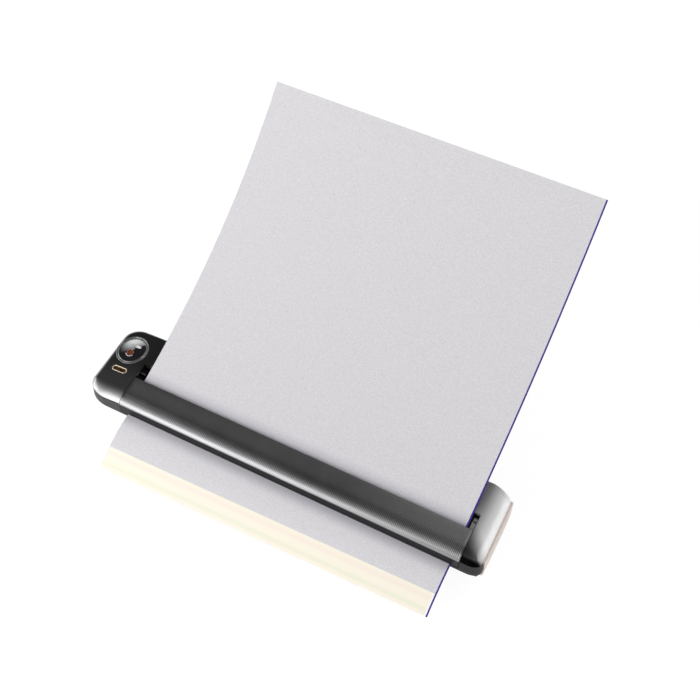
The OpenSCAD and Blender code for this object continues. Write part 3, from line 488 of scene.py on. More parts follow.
def build_end_cap():
    """Crescent-shaped cap that lies on the right end wall."""
    rise = CAP_BULGE - CAP_TIP
    radius = (CAP_HALF ** 2 + rise ** 2) / (2 * rise)
    peak = BODY_X1 + CAP_BULGE
    rows, columns = 26, 60
    outer, inner = [], []
    for r in range(rows + 1):
        z = CAP_LOW + (CAP_HIGH - CAP_LOW) * r / rows
        line = wall_line(z)
        for c in range(columns + 1):
            y = -CAP_HALF + 2 * CAP_HALF * c / columns
            skin = right_wall_x(line, y) + CAP_GAP
            face = min(peak - radius + math.sqrt(radius ** 2 - y ** 2), peak + cap_lean(z))
            outer.append((max(face, skin + CAP_LEAST), y, z))
            inner.append((skin, y, z))
    count = len(outer)
    wide = columns + 1
    faces = []
    for r in range(rows):
        for c in range(columns):
            a = r * wide + c
            faces.append((a, a + 1, a + wide + 1, a + wide))
            faces.append((count + a, count + a + wide, count + a + wide + 1, count + a + 1))
    for c in range(columns):
        for a, b in ((c, c + 1), (rows * wide + c + 1, rows * wide + c)):
            faces.append((b, a, count + a, count + b))
    for r in range(rows):
        for a, b in ((r * wide + wide, r * wide), (r * wide + columns, r * wide + wide + columns)):
            faces.append((b, a, count + a, count + b))
    piece = make_piece("end_cap_skin", outer + inner, faces)
    smooth(piece, 40)
    settle(piece, "base", ["right_end_cap"])
    return piece


# The ribbed cover
RIB_DEPTH = 0.15
RIB_MARGIN = 0.9
RIB_COUNT = 219
RIB_PITCH = (COVER_X1 - COVER_X0 - 2 * RIB_MARGIN) / RIB_COUNT
RIB_FADE_FROM, RIB_FADE_OVER = 0.6, 0.33
REAR_CHAMFER = 0.3


def cover_arc(inset, steps=30):
    """The cover's roll from its top to its crisp edge, as [y, z, angle]."""
    line = []
    r = ROLL_R - inset
    for i in range(steps + 1):
        a = math.pi / 2 + ROLL_END * i / steps
        line.append((ROLL_Y + r * math.cos(a), BODY_H - ROLL_R + r * math.sin(a), a))
    return line


def rib_share(angle):
    """Share of the ribs' depth at an angle of the roll: full at the back, none near the crisp edge."""
    turn = (angle - math.pi / 2) / ROLL_END
    fade = 1 - max(0, min(1, (turn - RIB_FADE_FROM) / RIB_FADE_OVER))
    return fade * fade * (3 - 2 * fade)


def cover_section():
    """Closed section of the shell as [y, z, outward y, outward z, share of the ribs' depth]."""
    rear_steps = 5
    run = ROLL_Y - COVER_Y + REAR_CHAMFER
    top = [(COVER_Y - REAR_CHAMFER + run * i / rear_steps, BODY_H, math.pi / 2) for i in range(rear_steps)]
    top += cover_arc(0)
    section = [(y, z, math.cos(a), math.sin(a), rib_share(a)) for y, z, a in top]
    section[0] = (*section[0][:4], 0)
    edge_y, edge_z = section[-1][:2]
    plain = [(edge_y + (FRONT_Y - edge_y) * t, edge_z + (COVER_LIP_Z - edge_z) * t) for t in (0.1, 0.5, 1)]
    plain += [(FRONT_Y + COVER_WALL, COVER_LIP_Z)]
    plain += [(y, z) for y, z, a in reversed(cover_arc(COVER_WALL, 10))]
    plain += [(COVER_Y, BODY_H - COVER_WALL), (COVER_Y, BODY_H - REAR_CHAMFER)]
    return section + [(y, z, 0, 0, 0) for y, z in plain]


def cover_skin():
    """The skin drawn out along X, with its fine ribs from back to front."""
    section = cover_section()
    steps = 6
    start = COVER_X0 + RIB_MARGIN
    places = [(COVER_X0, 0), (start, 0)]
    for i in range(1, RIB_COUNT * steps):
        depth = RIB_DEPTH * (0.5 - 0.5 * math.cos(2 * math.pi * i / steps))
        places.append((start + RIB_PITCH * i / steps, depth))
    places += [(COVER_X1 - RIB_MARGIN, 0), (COVER_X1, 0)]
    rings = [[(x, y - depth * share * out_y, z - depth * share * out_z)
              for y, z, out_y, out_z, share in section] for x, depth in places]
    return loft("cover_skin", rings)


def end_plate(x0, x1):
    """Plate that closes one end of the cover, a little inside its skin."""
    line = [(COVER_Y - 0.02, BODY_H - 0.4), (COVER_Y - 0.4, BODY_H - 0.05)]
    line += [(y, z) for y, z, a in cover_arc(0.05, 20)]
    line += [(FRONT_Y + 0.03, COVER_LIP_Z + 0.02), (FRONT_Y + 4.5, COVER_LIP_Z + 0.4),
             (ROLLER[0] - 4, NIP_Z + 1.6), (ROLLER[0] + 5, NIP_Z + 2.5), (COVER_Y - 0.02, HINGE[1] - 1.5)]
    return prism("end_plate", line, x0, x1)


def hinge_arm(x0, x1, tab):
    """Arm that reaches back from the cover to its knuckle, with a tab of that width over the notch."""
    low, high, top = HINGE[1] - 2.3, HINGE[1] + 0.6, BODY_H - TAB_DROP
    line = [(COVER_Y - 3, BODY_H - COVER_WALL), (COVER_Y - 3, low), (HINGE[0], low), (HINGE[0], high),
            (COVER_Y + tab, high), (COVER_Y + tab, top), (COVER_Y - 1, top)]
    arm = prism("arm", line, x0, x1)
    combine(arm, [rod("knuckle", x0, x1, HINGE, KNUCKLE_R)], "UNION")
    combine(arm, [rod("bore", x0 - 1, x1 + 1, HINGE, KNUCKLE_BORE_R, 32)], "DIFFERENCE")
    round_edges(arm, EDGE_ROUND, 50)
    return arm


def build_cover():
    piece = cover_skin()
    plate, gap = 1.6, 0.02
    parts = [end_plate(COVER_X0 + gap, COVER_X0 + plate), end_plate(COVER_X1 - plate, COVER_X1 - gap),
             hinge_arm(COVER_X0, COVER_X0 + LEFT_ARM, TAB_LEFT),
             hinge_arm(COVER_X1 - RIGHT_ARM, COVER_X1, TAB_RIGHT)]
    add_loose(piece, parts)
    smooth(piece, 36)
    settle(piece, "cover", ["cover_shell"])
    return piece


# The sheet of paper
SHEET_W, SHEET_T = 210.0, 0.12
SHEET_X = BAY_X0 + 5.8 + SHEET_W / 2
SHEET_YAW = math.radians(0.57)
SLOT_AT = (COVER_Y + 1.14, BODY_H - 1.94)
EXIT_AT = (FRONT_Y - 0.2, COVER_LIP_Z - 0.65)
NIP_AT = (FRONT_Y + 9.9, NIP_Z)
SLOT_SLOPE, NIP_SLOPE, EXIT_SLOPE = 14.6, 24.7, 5.7
REAR_BEND, FRONT_BEND = 0.143, 0.917
SHEET_REAR, FRONT_LEFT, FRONT_RIGHT = 197.8, 36.2, 29.2
PULL_REAR, PULL_FRONT = 3.6, 3.4


# Slopes are in degrees and bends in degrees per millimetre
def behind(s):
    """Point of the sheet s behind the slot, as [y, z]."""
    r = 180 / math.pi / REAR_BEND
    a, b = math.radians(SLOT_SLOPE + REAR_BEND * s), math.radians(SLOT_SLOPE)
    return SLOT_AT[0] + r * (math.sin(a) - math.sin(b)), SLOT_AT[1] + r * (math.cos(b) - math.cos(a))


def in_front(s):
    """Point of the sheet s in front of the exit, as [y, z]."""
    r = 180 / math.pi / FRONT_BEND
    a, b = math.radians(EXIT_SLOPE + FRONT_BEND * s), math.radians(EXIT_SLOPE)
    return EXIT_AT[0] - r * (math.sin(a) - math.sin(b)), EXIT_AT[1] - r * (math.cos(b) - math.cos(a))


def bezier(a, b, c, d, t):
    u = 1 - t
    return tuple(a[i] * u ** 3 + 3 * b[i] * t * u ** 2 + 3 * c[i] * t * t * u + d[i] * t ** 3 for i in (0, 1))


def step_along(p, slope, s):
    return p[0] - s * math.cos(math.radians(slope)), p[1] - s * math.sin(math.radians(slope))


def sheet_line():
    """Middle line of the sheet from the back to the front, as [y, z]."""
    rear_steps, inner_steps, front_steps, spare = 60, 16, 40, 2
    to_nip = (SLOT_AT, step_along(SLOT_AT, SLOT_SLOPE, PULL_REAR),
              step_along(NIP_AT, NIP_SLOPE, -PULL_REAR), NIP_AT)
    to_exit = (NIP_AT, step_along(NIP_AT, NIP_SLOPE, PULL_FRONT),
               step_along(EXIT_AT, EXIT_SLOPE, -PULL_FRONT), EXIT_AT)
    line = [behind((SHEET_REAR + spare) * i / rear_steps) for i in range(rear_steps, 0, -1)]
    line += [bezier(*to_nip, i / inner_steps) for i in range(inner_steps + 1)]
    line += [bezier(*to_exit, i / inner_steps) for i in range(1, inner_steps)]
    line += [in_front((FRONT_LEFT + spare) * i / front_steps) for i in range(front_steps + 1)]
    return line


def build_sheet():
    """The sheet, with a UV map of each place on it, in metres from its left and its front edge."""
    line = sheet_line()

    def height(y):
        for (ya, za), (yb, zb) in zip(line, line[1:]):
            if yb <= y <= ya:
                return za + (zb - za) * (ya - y) / (ya - yb)
        return line[0][1] if y > line[0][0] else line[-1][1]

    rear_v = behind(SHEET_REAR)[0] - SLOT_AT[0]
    front_l = in_front(FRONT_LEFT)[0] - SLOT_AT[0]
    front_r = in_front(FRONT_RIGHT)[0] - SLOT_AT[0]
    columns, rows = 30, 260
    verts, faces, marks = [], [], []
    for side in (1, -1):
        for r in range(rows + 1):
            for c in range(columns + 1):
                u = -SHEET_W / 2 + SHEET_W * c / columns
                front_v = front_l + (front_r - front_l) * c / columns
                v = rear_v + (front_v - rear_v) * r / rows
                x = SHEET_X + u * math.cos(SHEET_YAW) + v * math.sin(SHEET_YAW)
                y = SLOT_AT[0] - u * math.sin(SHEET_YAW) + v * math.cos(SHEET_YAW)
                verts.append((x, y, height(y) + side * SHEET_T / 2))
                marks.append(((u + SHEET_W / 2) * MM, (v - front_v) * MM))
    wide, count = columns + 1, (columns + 1) * (rows + 1)
    for r in range(rows):
        for c in range(columns):
            a = r * wide + c
            faces.append((a, a + wide, a + wide + 1, a + 1))
            faces.append((count + a, count + a + 1, count + a + wide + 1, count + a + wide))
    edge = ([c for c in range(columns)] + [r * wide + columns for r in range(rows)]
            + [rows * wide + c for c in range(columns, 0, -1)] + [r * wide for r in range(rows, 0, -1)])
    for a, b in zip(edge, edge[1:] + edge[:1]):
        faces.append((a, b, count + b, count + a))
    piece = make_piece("thermal_sheet", verts, faces)
    layer = piece.data.uv_layers.new(name="sheet_metres")
    for loop in piece.data.loops:
        layer.data[loop.index].uv = marks[loop.vertex_index]
    piece.data.shade_smooth()
    piece.data.set_sharp_from_angle(angle=math.radians(40))
    settle(piece, "base", ["paper_sheet"])
    return piece


# Display and key
LENS_SPHERE, LENS_PEAK, LENS_LOW = 90.0, 0.2, -1.1


def lens_top(r):
    return LENS_PEAK - LENS_SPHERE + math.sqrt(LENS_SPHERE ** 2 - r ** 2)


def build_dial():
    """Ring with two raised lines, and the domed lens inside it."""
    seat = turn_to_left_top(*DIAL)
    inner = [(0, -RING_SINK), (0, 0.18), (0.06, 0.29), (0.18, 0.35), (0.34, 0.35), (0.45, 0.29), (0.5, 0.16),
             (0.58, 0.06), (0.8, 0.03)]
    outer = [(0.7, 0.05), (0.62, 0.14), (0.55, 0.28), (0.4, 0.35), (0.2, 0.33), (0.05, 0.22), (0, 0.06),
             (0, -RING_SINK)]
    profile = [(LENS_R + d, z) for d, z in inner] + [(DIAL_R - d, z) for d, z in outer]
    ring = move(lathe("dial_rings", profile, 128), seat)
    smooth(ring, 50)
    settle(ring, "base", ["dial_ring"])
    edge = LENS_R - 0.05
    steps = 24
    profile = [(0, LENS_LOW), (edge, LENS_LOW), (edge, -0.25)]
    for i in range(steps + 1):
        r = (edge - 0.1) * (1 - i / steps)
        profile.append((r, lens_top(r)))
    lens = move(lathe("dial_glass", profile, 128), seat)
    smooth(lens, 40)
    settle(lens, "base", ["dial_lens"])
    return ring, lens


def flat_shape(name, line, u, v):
    """Thin tile that lies on the lens, u and v from its centre."""
    half = 0.03
    spots = [(u + x, v + y) for x, y in line]
    return loft(name, [[(x, y, lens_top(math.hypot(x, y)) + dz) for x, y in spots] for dz in (-half, half)])


def ring_piece(name, u, v, r_in, r_out, squash, a0, a1, steps=40):
    """Part of a flattened ring from angle a0 to a1, in degrees."""
    line = []
    for r, order in ((r_out, range(steps + 1)), (r_in, range(steps, -1, -1))):
        for i in order:
            a = math.radians(a0 + (a1 - a0) * i / steps)
            line.append((r * math.cos(a), squash * r * math.sin(a)))
    return flat_shape(name, line, u, v)


def box_line(w, h, r):
    """Outline of a box of w by h with corners of radius r."""
    line = []
    steps = 4
    for cx, cy, start in ((1, 1, 0), (-1, 1, 90), (-1, -1, 180), (1, -1, 270)):
        for i in range(steps + 1):
            a = math.radians(start + 90 * i / steps)
            line.append((cx * (w / 2 - r) + r * math.cos(a), cy * (h / 2 - r) + r * math.sin(a)))
    return line


def build_icons(finishes):
    """Plain generic marks on the lens: a leaf, a cell, a smile, a stack of bars and a round badge."""
    seat = turn_to_left_top(*DIAL)
    leaf = [(-0.35, -0.75), (0.45, 0.1), (0.3, 0.8), (-0.4, 0.1)]
    marks = {
        "icon_green": [flat_shape("leaf", leaf, -2.4, 3.6)],
        "icon_white": [flat_shape("cell", box_line(3.1, 1.7, 0.3), 2.2, 3.4),
                       flat_shape("cell_tip", box_line(0.35, 0.8, 0.1), 4.0, 3.4),
                       ring_piece("smile", -0.35, -2.3, 2.45, 2.8, 0.9, 205, 335)],
        "icon_grey": [flat_shape("stack", box_line(2.3, 0.7, 0.1), -0.4, 1.1),
                      flat_shape("stack", box_line(1.9, 0.5, 0.1), -0.4, 0.2)],
        "icon_copper": [ring_piece("halo", -0.35, -1.9, 1.75, 2.3, 0.8, 0, 359.9),
                        flat_shape("bar", box_line(2.0, 0.35, 0.1), -0.35, -1.5),
                        flat_shape("bar", box_line(1.6, 0.35, 0.1), -0.35, -2.4)],
    }
    for name, (piece, *others) in marks.items():
        piece.name = name
        add_loose(piece, others)
        move(piece, seat)
        settle(piece, "base")
        dress(piece, finishes[name])


def pill_ring(length, width, z):
    """Outline of a pill at height z."""
    return [(x, y, z) for x, y in pill_line(length, width, 24)]


def build_key():
    """Bezel with a rounded rim, and the key sunk into it with its flange and stem."""
    seat = turn_to_left_top(*KEY)
    profile = [(0, -RING_SINK), (0, 0.02), (0.06, 0.12), (0.18, 0.2), (0.34, 0.2), (0.46, 0.12),
               (0.54, -0.02), (KEY_RIM, -RING_SINK)]
    rings = [pill_ring(KEY_LEN - 2 * d, KEY_W - 2 * d, z) for d, z in profile]
    faces = [face for k in range(len(rings)) for face in band(k, (k + 1) % len(rings), len(rings[0]))]
    rim = move(make_piece("key_rim", [point for ring in rings for point in ring], faces), seat)
    smooth(rim, 50)
    settle(rim, "base", ["key_bezel"])
    length, width = KEY_HOLE_LEN - 2 * KEY_GAP, KEY_HOLE_W - 2 * KEY_GAP
    flange_top = -TOP_WALL - 0.15
    flange_low = flange_top - 0.45
    top = -KEY_SUNK
    layers = [(0, flange_top), (0, top - 0.22), (0.05, top - 0.1), (0.16, top - 0.02), (0.35, top)]
    key = loft("key_top", [pill_ring(length - 2 * d, width - 2 * d, z) for d, z in layers])
    spread = 2 * KEY_FLANGE
    flange = [pill_ring(KEY_HOLE_LEN + spread, KEY_HOLE_W + spread, z) for z in (flange_low, flange_top)]
    add_loose(key, [loft("flange", flange), upright("stem", (0, 0), STEM_LOW, flange_low + 0.05, STEM_R)])
    move(key, seat)
    smooth(key, 50)
    settle(key, "key", ["power_key"])
    return rim, key


# Shader node groups
VALUE, VECTOR = "NodeSocketFloat", "NodeSocketVector"


def new_group(name, inputs, outputs):
    """A node group with its inputs, each with its kind and its value, and its value outputs."""
    tree = bpy.data.node_groups.new(name, "ShaderNodeTree")
    for label, kind, value in inputs:
        socket = tree.interface.new_socket(name=label, in_out="INPUT", socket_type=kind)
        if value is not None:
            socket.default_value = value
    for label in outputs:
        tree.interface.new_socket(name=label, in_out="OUTPUT", socket_type=VALUE)
    return tree, tree.nodes.new("NodeGroupInput"), tree.nodes.new("NodeGroupOutput")


def add(tree, kind, values=(), **settings):
    node = tree.nodes.new(kind)
    for key, value in settings.items():
        setattr(node, key, value)
    for key, value in dict(values).items():
        node.inputs[key].default_value = value
    return node


def join(tree, *pairs):
    for source, target in pairs:
        tree.links.new(source, target)


def per_metre(tree, size):
    """How many times a size in millimetres goes into a metre."""
    node = add(tree, "ShaderNodeMath", {0: 1 / MM}, operation="DIVIDE")
    join(tree, (size, node.inputs[1]))
    return node.outputs[0]


def make_grain_group():
    """Fine moulded grain: a height for bump, and a tone that varies slowly over the surface."""
    inputs = [("Place", VECTOR, None), ("Grain size", VALUE, 0.3), ("Tone size", VALUE, 20.0)]
    tree, inp, out = new_group("moulded_grain", inputs, ["Height", "Tone"])
    fine = add(tree, "ShaderNodeTexNoise", {"Detail": 3.0, "Roughness": 0.6})
    slow = add(tree, "ShaderNodeTexNoise", {"Detail": 4.0, "Roughness": 0.55})
    fine_scale = per_metre(tree, inp.outputs["Grain size"])
    slow_scale = per_metre(tree, inp.outputs["Tone size"])
    join(tree, (fine_scale, fine.inputs["Scale"]), (slow_scale, slow.inputs["Scale"]),
         (inp.outputs["Place"], fine.inputs["Vector"]), (inp.outputs["Place"], slow.inputs["Vector"]),
         (fine.outputs["Fac"], out.inputs["Height"]), (slow.outputs["Fac"], out.inputs["Tone"]))
    return tree


def make_brushed_group():
    """Lines of brushed or turned metal, drawn out along X."""
    inputs = [("Place", VECTOR, None), ("Line size", VALUE, 0.2)]
    tree, inp, out = new_group("brushed_lines", inputs, ["Height", "Tone"])
    stretch = add(tree, "ShaderNodeMapping")
    stretch.inputs["Scale"].default_value = (0.03, 1, 1)
    lines = add(tree, "ShaderNodeTexNoise", {"Detail": 4.0, "Roughness": 0.65})
    join(tree, (inp.outputs["Place"], stretch.inputs["Vector"]), (stretch.outputs[0], lines.inputs["Vector"]),
         (per_metre(tree, inp.outputs["Line size"]), lines.inputs["Scale"]),
         (lines.outputs["Fac"], out.inputs["Height"]), (lines.outputs["Fac"], out.inputs["Tone"]))
    return tree


def make_speckle_group():
    """Small bright flecks, as in metallic lacquer."""
    inputs = [("Place", VECTOR, None), ("Fleck size", VALUE, 0.3), ("Share", VALUE, 0.3)]
    tree, inp, out = new_group("lacquer_flecks", inputs, ["Mask"])
    cells = add(tree, "ShaderNodeTexVoronoi")
    split = add(tree, "ShaderNodeSeparateColor")
    pick = add(tree, "ShaderNodeMath", operation="LESS_THAN")
    join(tree, (per_metre(tree, inp.outputs["Fleck size"]), cells.inputs["Scale"]),
         (inp.outputs["Place"], cells.inputs["Vector"]), (cells.outputs["Color"], split.inputs[0]),
         (split.outputs[0], pick.inputs[0]), (inp.outputs["Share"], pick.inputs[1]),
         (pick.outputs[0], out.inputs["Mask"]))
    return tree


def make_rib_group():
    """1 in the middle of each groove of a ribbed surface and 0 on each crest."""
    inputs = [("Place", VALUE, None), ("Start", VALUE, 0.0), ("Pitch", VALUE, 0.001)]
    tree, inp, out = new_group("rib_grooves", inputs, ["Groove"])
    turns = add(tree, "ShaderNodeMath", operation="SUBTRACT")
    phase = add(tree, "ShaderNodeMath", operation="DIVIDE")
    angle = add(tree, "ShaderNodeMath", {1: 2 * math.pi}, operation="MULTIPLY")
    wave = add(tree, "ShaderNodeMath", operation="COSINE")
    groove = add(tree, "ShaderNodeMapRange", {"From Min": 1.0, "From Max": -1.0})
    join(tree, (inp.outputs["Place"], turns.inputs[0]), (inp.outputs["Start"], turns.inputs[1]),
         (turns.outputs[0], phase.inputs[0]), (inp.outputs["Pitch"], phase.inputs[1]),
         (phase.outputs[0], angle.inputs[0]), (angle.outputs[0], wave.inputs[0]),
         (wave.outputs[0], groove.inputs["Value"]), (groove.outputs[0], out.inputs["Groove"]))
    return tree


GRAIN = make_grain_group()
RIBS = make_rib_group()
BRUSHED = make_brushed_group()
FLECKS = make_speckle_group()


def start_material(name, roughness=0.5, metallic=0.0, coat=0.0, coat_roughness=0.1, ior=1.5):
    material = bpy.data.materials.new(name)
    material.use_nodes = True
    shader = material.node_tree.nodes["Principled BSDF"]
    values = {"Roughness": roughness, "Metallic": metallic, "Coat Weight": coat,
              "Coat Roughness": coat_roughness, "IOR": ior}
    for key, value in values.items():
        shader.inputs[key].default_value = value
    return material, material.node_tree, shader


def place_of(tree):
    return add(tree, "ShaderNodeTexCoord").outputs["Object"]


def axes_and_grain(tree, grain_size, tone_size):
    """The three axes of the place on the piece, and the grain group set to that place."""
    place = place_of(tree)
    axes = add(tree, "ShaderNodeSeparateXYZ")
    group = use_group(tree, GRAIN, grain_size=grain_size, tone_size=tone_size)
    join(tree, (place, axes.inputs[0]), (place, group.inputs["Place"]))
    return axes, group


def use_group(tree, group, **values):
    node = tree.nodes.new("ShaderNodeGroup")
    node.node_tree = group
    for key, value in values.items():
        node.inputs[key.replace("_", " ").capitalize()].default_value = value
    return node


def tone_colours(tree, factor, dark, light, low=0.3, high=0.7):
    """Dark where the noise is under low, light where it is over high."""
    ramp = add(tree, "ShaderNodeMapRange", {"From Min": low, "From Max": high})
    mix = add(tree, "ShaderNodeMix", data_type="RGBA")
    mix.inputs[6].default_value = (*dark, 1)
    mix.inputs[7].default_value = (*light, 1)
    join(tree, (factor, ramp.inputs["Value"]), (ramp.outputs[0], mix.inputs[0]))
    return mix.outputs[2]


def vary(tree, factor, low, high):
    """A value from low to high that follows the noise."""
    values = {"From Min": 0.25, "From Max": 0.75, "To Min": low, "To Max": high}
    ramp = add(tree, "ShaderNodeMapRange", values)
    join(tree, (factor, ramp.inputs["Value"]))
    return ramp.outputs[0]


def bump(tree, shader, height, depth):
    node = add(tree, "ShaderNodeBump", {"Strength": 1.0, "Distance": depth * MM})
    join(tree, (height, node.inputs["Height"]), (node.outputs[0], shader.inputs["Normal"]))


def follow_group(tree, shader, group, dark, light, roughness, depth):
    """Colour, gloss and bump that follow a noise group."""
    join(tree, (place_of(tree), group.inputs["Place"]),
         (tone_colours(tree, group.outputs["Tone"], dark, light), shader.inputs["Base Color"]),
         (vary(tree, group.outputs["Tone"], *roughness), shader.inputs["Roughness"]))
    bump(tree, shader, group.outputs["Height"], depth)


def grainy(name, dark, light, roughness, grain=0.3, depth=0.01, tone=15.0, **looks):
    """Moulded plastic, rubber or lacquer: fine grain, slow change of tone, uneven gloss."""
    material, tree, shader = start_material(name, **looks)
    group = use_group(tree, GRAIN, grain_size=grain, tone_size=tone)
    follow_group(tree, shader, group, dark, light, roughness, depth)
    return material


def brushed(name, dark, light, roughness, line=0.15, depth=0.004, **looks):
    """Turned, ground or brushed metal."""
    material, tree, shader = start_material(name, metallic=1.0, **looks)
    group = use_group(tree, BRUSHED, line_size=line)
    follow_group(tree, shader, group, dark, light, roughness, depth)
    return material


def dress(piece, material):
    if piece.material_slots:
        for slot in piece.material_slots:
            slot.material = material
    else:
        piece.data.materials.append(material)


def ramp_along(tree, value, low, high):
    """0 to 1 between two places, in millimetres."""
    values = {"From Min": low * MM, "From Max": high * MM}
    node = add(tree, "ShaderNodeMapRange", values, interpolation_type="SMOOTHSTEP")
    join(tree, (value, node.inputs["Value"]))
    return node.outputs[0]


def stripe(tree, value, start, full_from, full_to, end):
    """1 on a stripe with soft sides, in millimetres."""
    return combine_values(tree, "MULTIPLY", ramp_along(tree, value, start, full_from),
                          ramp_along(tree, value, end, full_to))


def blend_colours(tree, factor, first, second):
    """A mix of two colours, each either a colour or a socket."""
    mix = add(tree, "ShaderNodeMix", data_type="RGBA")
    for socket, value in ((mix.inputs[6], first), (mix.inputs[7], second)):
        if isinstance(value, tuple):
            socket.default_value = (*value, 1)
        else:
            join(tree, (value, socket))
    join(tree, (factor, mix.inputs[0]))
    return mix.outputs[2]


def combine_values(tree, operation, first, second):
    """The outcome of a math node, its inputs each either a number or a socket."""
    node = add(tree, "ShaderNodeMath", operation=operation)
    for socket, value in ((node.inputs[0], first), (node.inputs[1], second)):
        if isinstance(value, (int, float)):
            socket.default_value = value
        else:
            join(tree, (value, socket))
    return node.outputs[0]


# Finishes that change with the place on the piece, several with painted highlights, reflections or shade,
# where plain numbers are places in millimetres
def silver_material():
    """Satin silver lacquer with a painted reflection: dark towards the cover and near white towards the outer
    end, and a painted dark reflection on the front roll.
    """
    material, tree, shader = start_material("silver_lacquer", metallic=0.25, roughness=0.48)
    axes, group = axes_and_grain(tree, 0.12, 14.0)
    # Painted reflection: the base colour runs from dark next to the cover to near white at the outer end.
    outward = ramp_along(tree, axes.outputs["X"], BAY_X1 - 3, BAY_X1 + 11)
    shade = blend_colours(tree, outward, (0.21, 0.21, 0.213), (0.97, 0.97, 0.97))
    # Painted dark reflection: near black and fully metallic on the front roll and on a patch that slants from
    # the front towards the cover.
    lean = 0.9
    slant = combine_values(tree, "MULTIPLY_ADD", axes.outputs["X"], lean)
    slant.node.inputs[2].default_value = -lean * BAY_X1 * MM
    slant = combine_values(tree, "ADD", slant, axes.outputs["Y"])
    inner = combine_values(tree, "MULTIPLY", ramp_along(tree, slant, -1, -18), 0.88)
    front = combine_values(tree, "MAXIMUM", ramp_along(tree, axes.outputs["Y"], -17, -23.3), inner)
    dark = blend_colours(tree, front, shade, (0.004, 0.004, 0.005))
    metal = add(tree, "ShaderNodeMapRange", {"To Min": 0.25, "To Max": 1.0})
    join(tree, (front, metal.inputs["Value"]), (metal.outputs[0], shader.inputs["Metallic"]))
    tone = tone_colours(tree, group.outputs["Tone"], (0.95, 0.95, 0.95), (1, 1, 1))
    mix = add(tree, "ShaderNodeMix", {0: 1.0}, data_type="RGBA", blend_type="MULTIPLY")
    join(tree, (dark, mix.inputs[6]), (tone, mix.inputs[7]), (mix.outputs[2], shader.inputs["Base Color"]))
    bump(tree, shader, group.outputs["Height"], 0.002)
    return material


def cover_material():
    """Dark satin grey, with a painted highlight where the front rolls over and painted shade in the rib
    grooves, black on its front face and left hinge arm.
    """
    material, tree, shader = start_material("ribbed_grey", metallic=0.75, roughness=0.32)
    axes, group = axes_and_grain(tree, 0.2, 16.0)
    ground = tone_colours(tree, group.outputs["Tone"], (0.11, 0.11, 0.112), (0.135, 0.135, 0.137))
    ground = blend_colours(tree, ramp_along(tree, axes.outputs["X"], 25, 118), ground, (0.25, 0.25, 0.252))
    # Painted highlight: a pale band on the roll just above the crisp edge, a little dimmer towards the right
    # end.
    painted_highlight_band = ramp_along(tree, axes.outputs["Y"], -21, -25.3)
    away = ramp_along(tree, axes.outputs["X"], 40, 130)
    pale = blend_colours(tree, away, (0.36, 0.36, 0.365), (0.32, 0.32, 0.322))
    rolled = blend_colours(tree, painted_highlight_band, ground, pale)
    # Painted shade in the rib grooves: weaker on the flat top, strongest on the lower roll, gone on the plain
    # band at the crisp edge.
    ribs = use_group(tree, RIBS, start=(COVER_X0 + RIB_MARGIN) * MM, pitch=RIB_PITCH * MM)
    plain = ramp_along(tree, axes.outputs["Y"], -22.5, -24.5)
    join(tree, (axes.outputs["X"], ribs.inputs["Place"]))
    deep = add(tree, "ShaderNodeMapRange", {"To Min": 0.3, "To Max": 0.72})
    join(tree, (ramp_along(tree, axes.outputs["Y"], -13, -21), deep.inputs["Value"]))
    shown = combine_values(tree, "SUBTRACT", deep.outputs[0], plain)
    groove = combine_values(tree, "MULTIPLY", ribs.outputs["Groove"], shown)
    groove.node.use_clamp = True
    rolled = blend_colours(tree, groove, rolled, (0.03, 0.03, 0.031))
    face = ramp_along(tree, axes.outputs["Z"], 25.7, 24.9)
    faced = blend_colours(tree, face, rolled, (0.022, 0.022, 0.023))
    arms = ramp_along(tree, axes.outputs["Y"], -6.95, -6.8)
    left = ramp_along(tree, axes.outputs["X"], 100, 99)
    colour = blend_colours(tree, combine_values(tree, "MULTIPLY", arms, left), faced, (0.006, 0.006, 0.006))
    join(tree, (colour, shader.inputs["Base Color"]),
         (vary(tree, group.outputs["Tone"], 0.3, 0.35), shader.inputs["Roughness"]))
    bump(tree, shader, group.outputs["Height"], 0.001)
    return material


def black_material():
    """Black lacquer with a painted highlight: pale on the front left roll, just above the crisp edge."""
    looks = {"roughness": 0.33, "coat": 1.0, "coat_roughness": 0.22, "ior": 1.6}
    material, tree, shader = start_material("gloss_black_lacquer", **looks)
    axes, group = axes_and_grain(tree, 0.25, 15.0)
    ground = tone_colours(tree, group.outputs["Tone"], (0.003, 0.003, 0.0032), (0.005, 0.005, 0.0055))
    # Painted highlight: pale where the surface falls below the tilted top on the roll, fading out towards the
    # rear.
    slope = math.tan(LEFT_TILT)
    top = combine_values(tree, "MULTIPLY_ADD", axes.outputs["X"], slope)
    top.node.inputs[2].default_value = (BODY_H - BAY_X0 * slope) * MM
    below = combine_values(tree, "SUBTRACT", top, axes.outputs["Z"])
    roll = ramp_along(tree, below, -0.3, 3.3)
    roll = combine_values(tree, "POWER", roll, 0.9)
    front = ramp_along(tree, axes.outputs["Y"], 6, -14)
    pale = combine_values(tree, "MULTIPLY", roll, front)
    join(tree, (blend_colours(tree, pale, ground, (0.72, 0.72, 0.73)), shader.inputs["Base Color"]))
    bump(tree, shader, group.outputs["Height"], 0.001)
    return material


def case_material():
    """Moulded grey wall of the lower case, with painted light and shade: darker towards the right end."""
    material, tree, shader = start_material("moulded_grey", roughness=0.5)
    shader.inputs["Specular IOR Level"].default_value = 0.28
    axes, group = axes_and_grain(tree, 0.3, 15.0)
    pale = tone_colours(tree, group.outputs["Tone"], (0.05, 0.05, 0.051), (0.06, 0.06, 0.061))
    dark = tone_colours(tree, group.outputs["Tone"], (0.008, 0.008, 0.008), (0.011, 0.011, 0.011))
    # Painted light and shade: the wall is lighter towards the left end and darker towards the right.
    colour = blend_colours(tree, ramp_along(tree, axes.outputs["X"], -90, 60), pale, dark)
    join(tree, (colour, shader.inputs["Base Color"]),
         (vary(tree, group.outputs["Tone"], 0.5, 0.6), shader.inputs["Roughness"]))
    bump(tree, shader, group.outputs["Height"], 0.008)
    return material


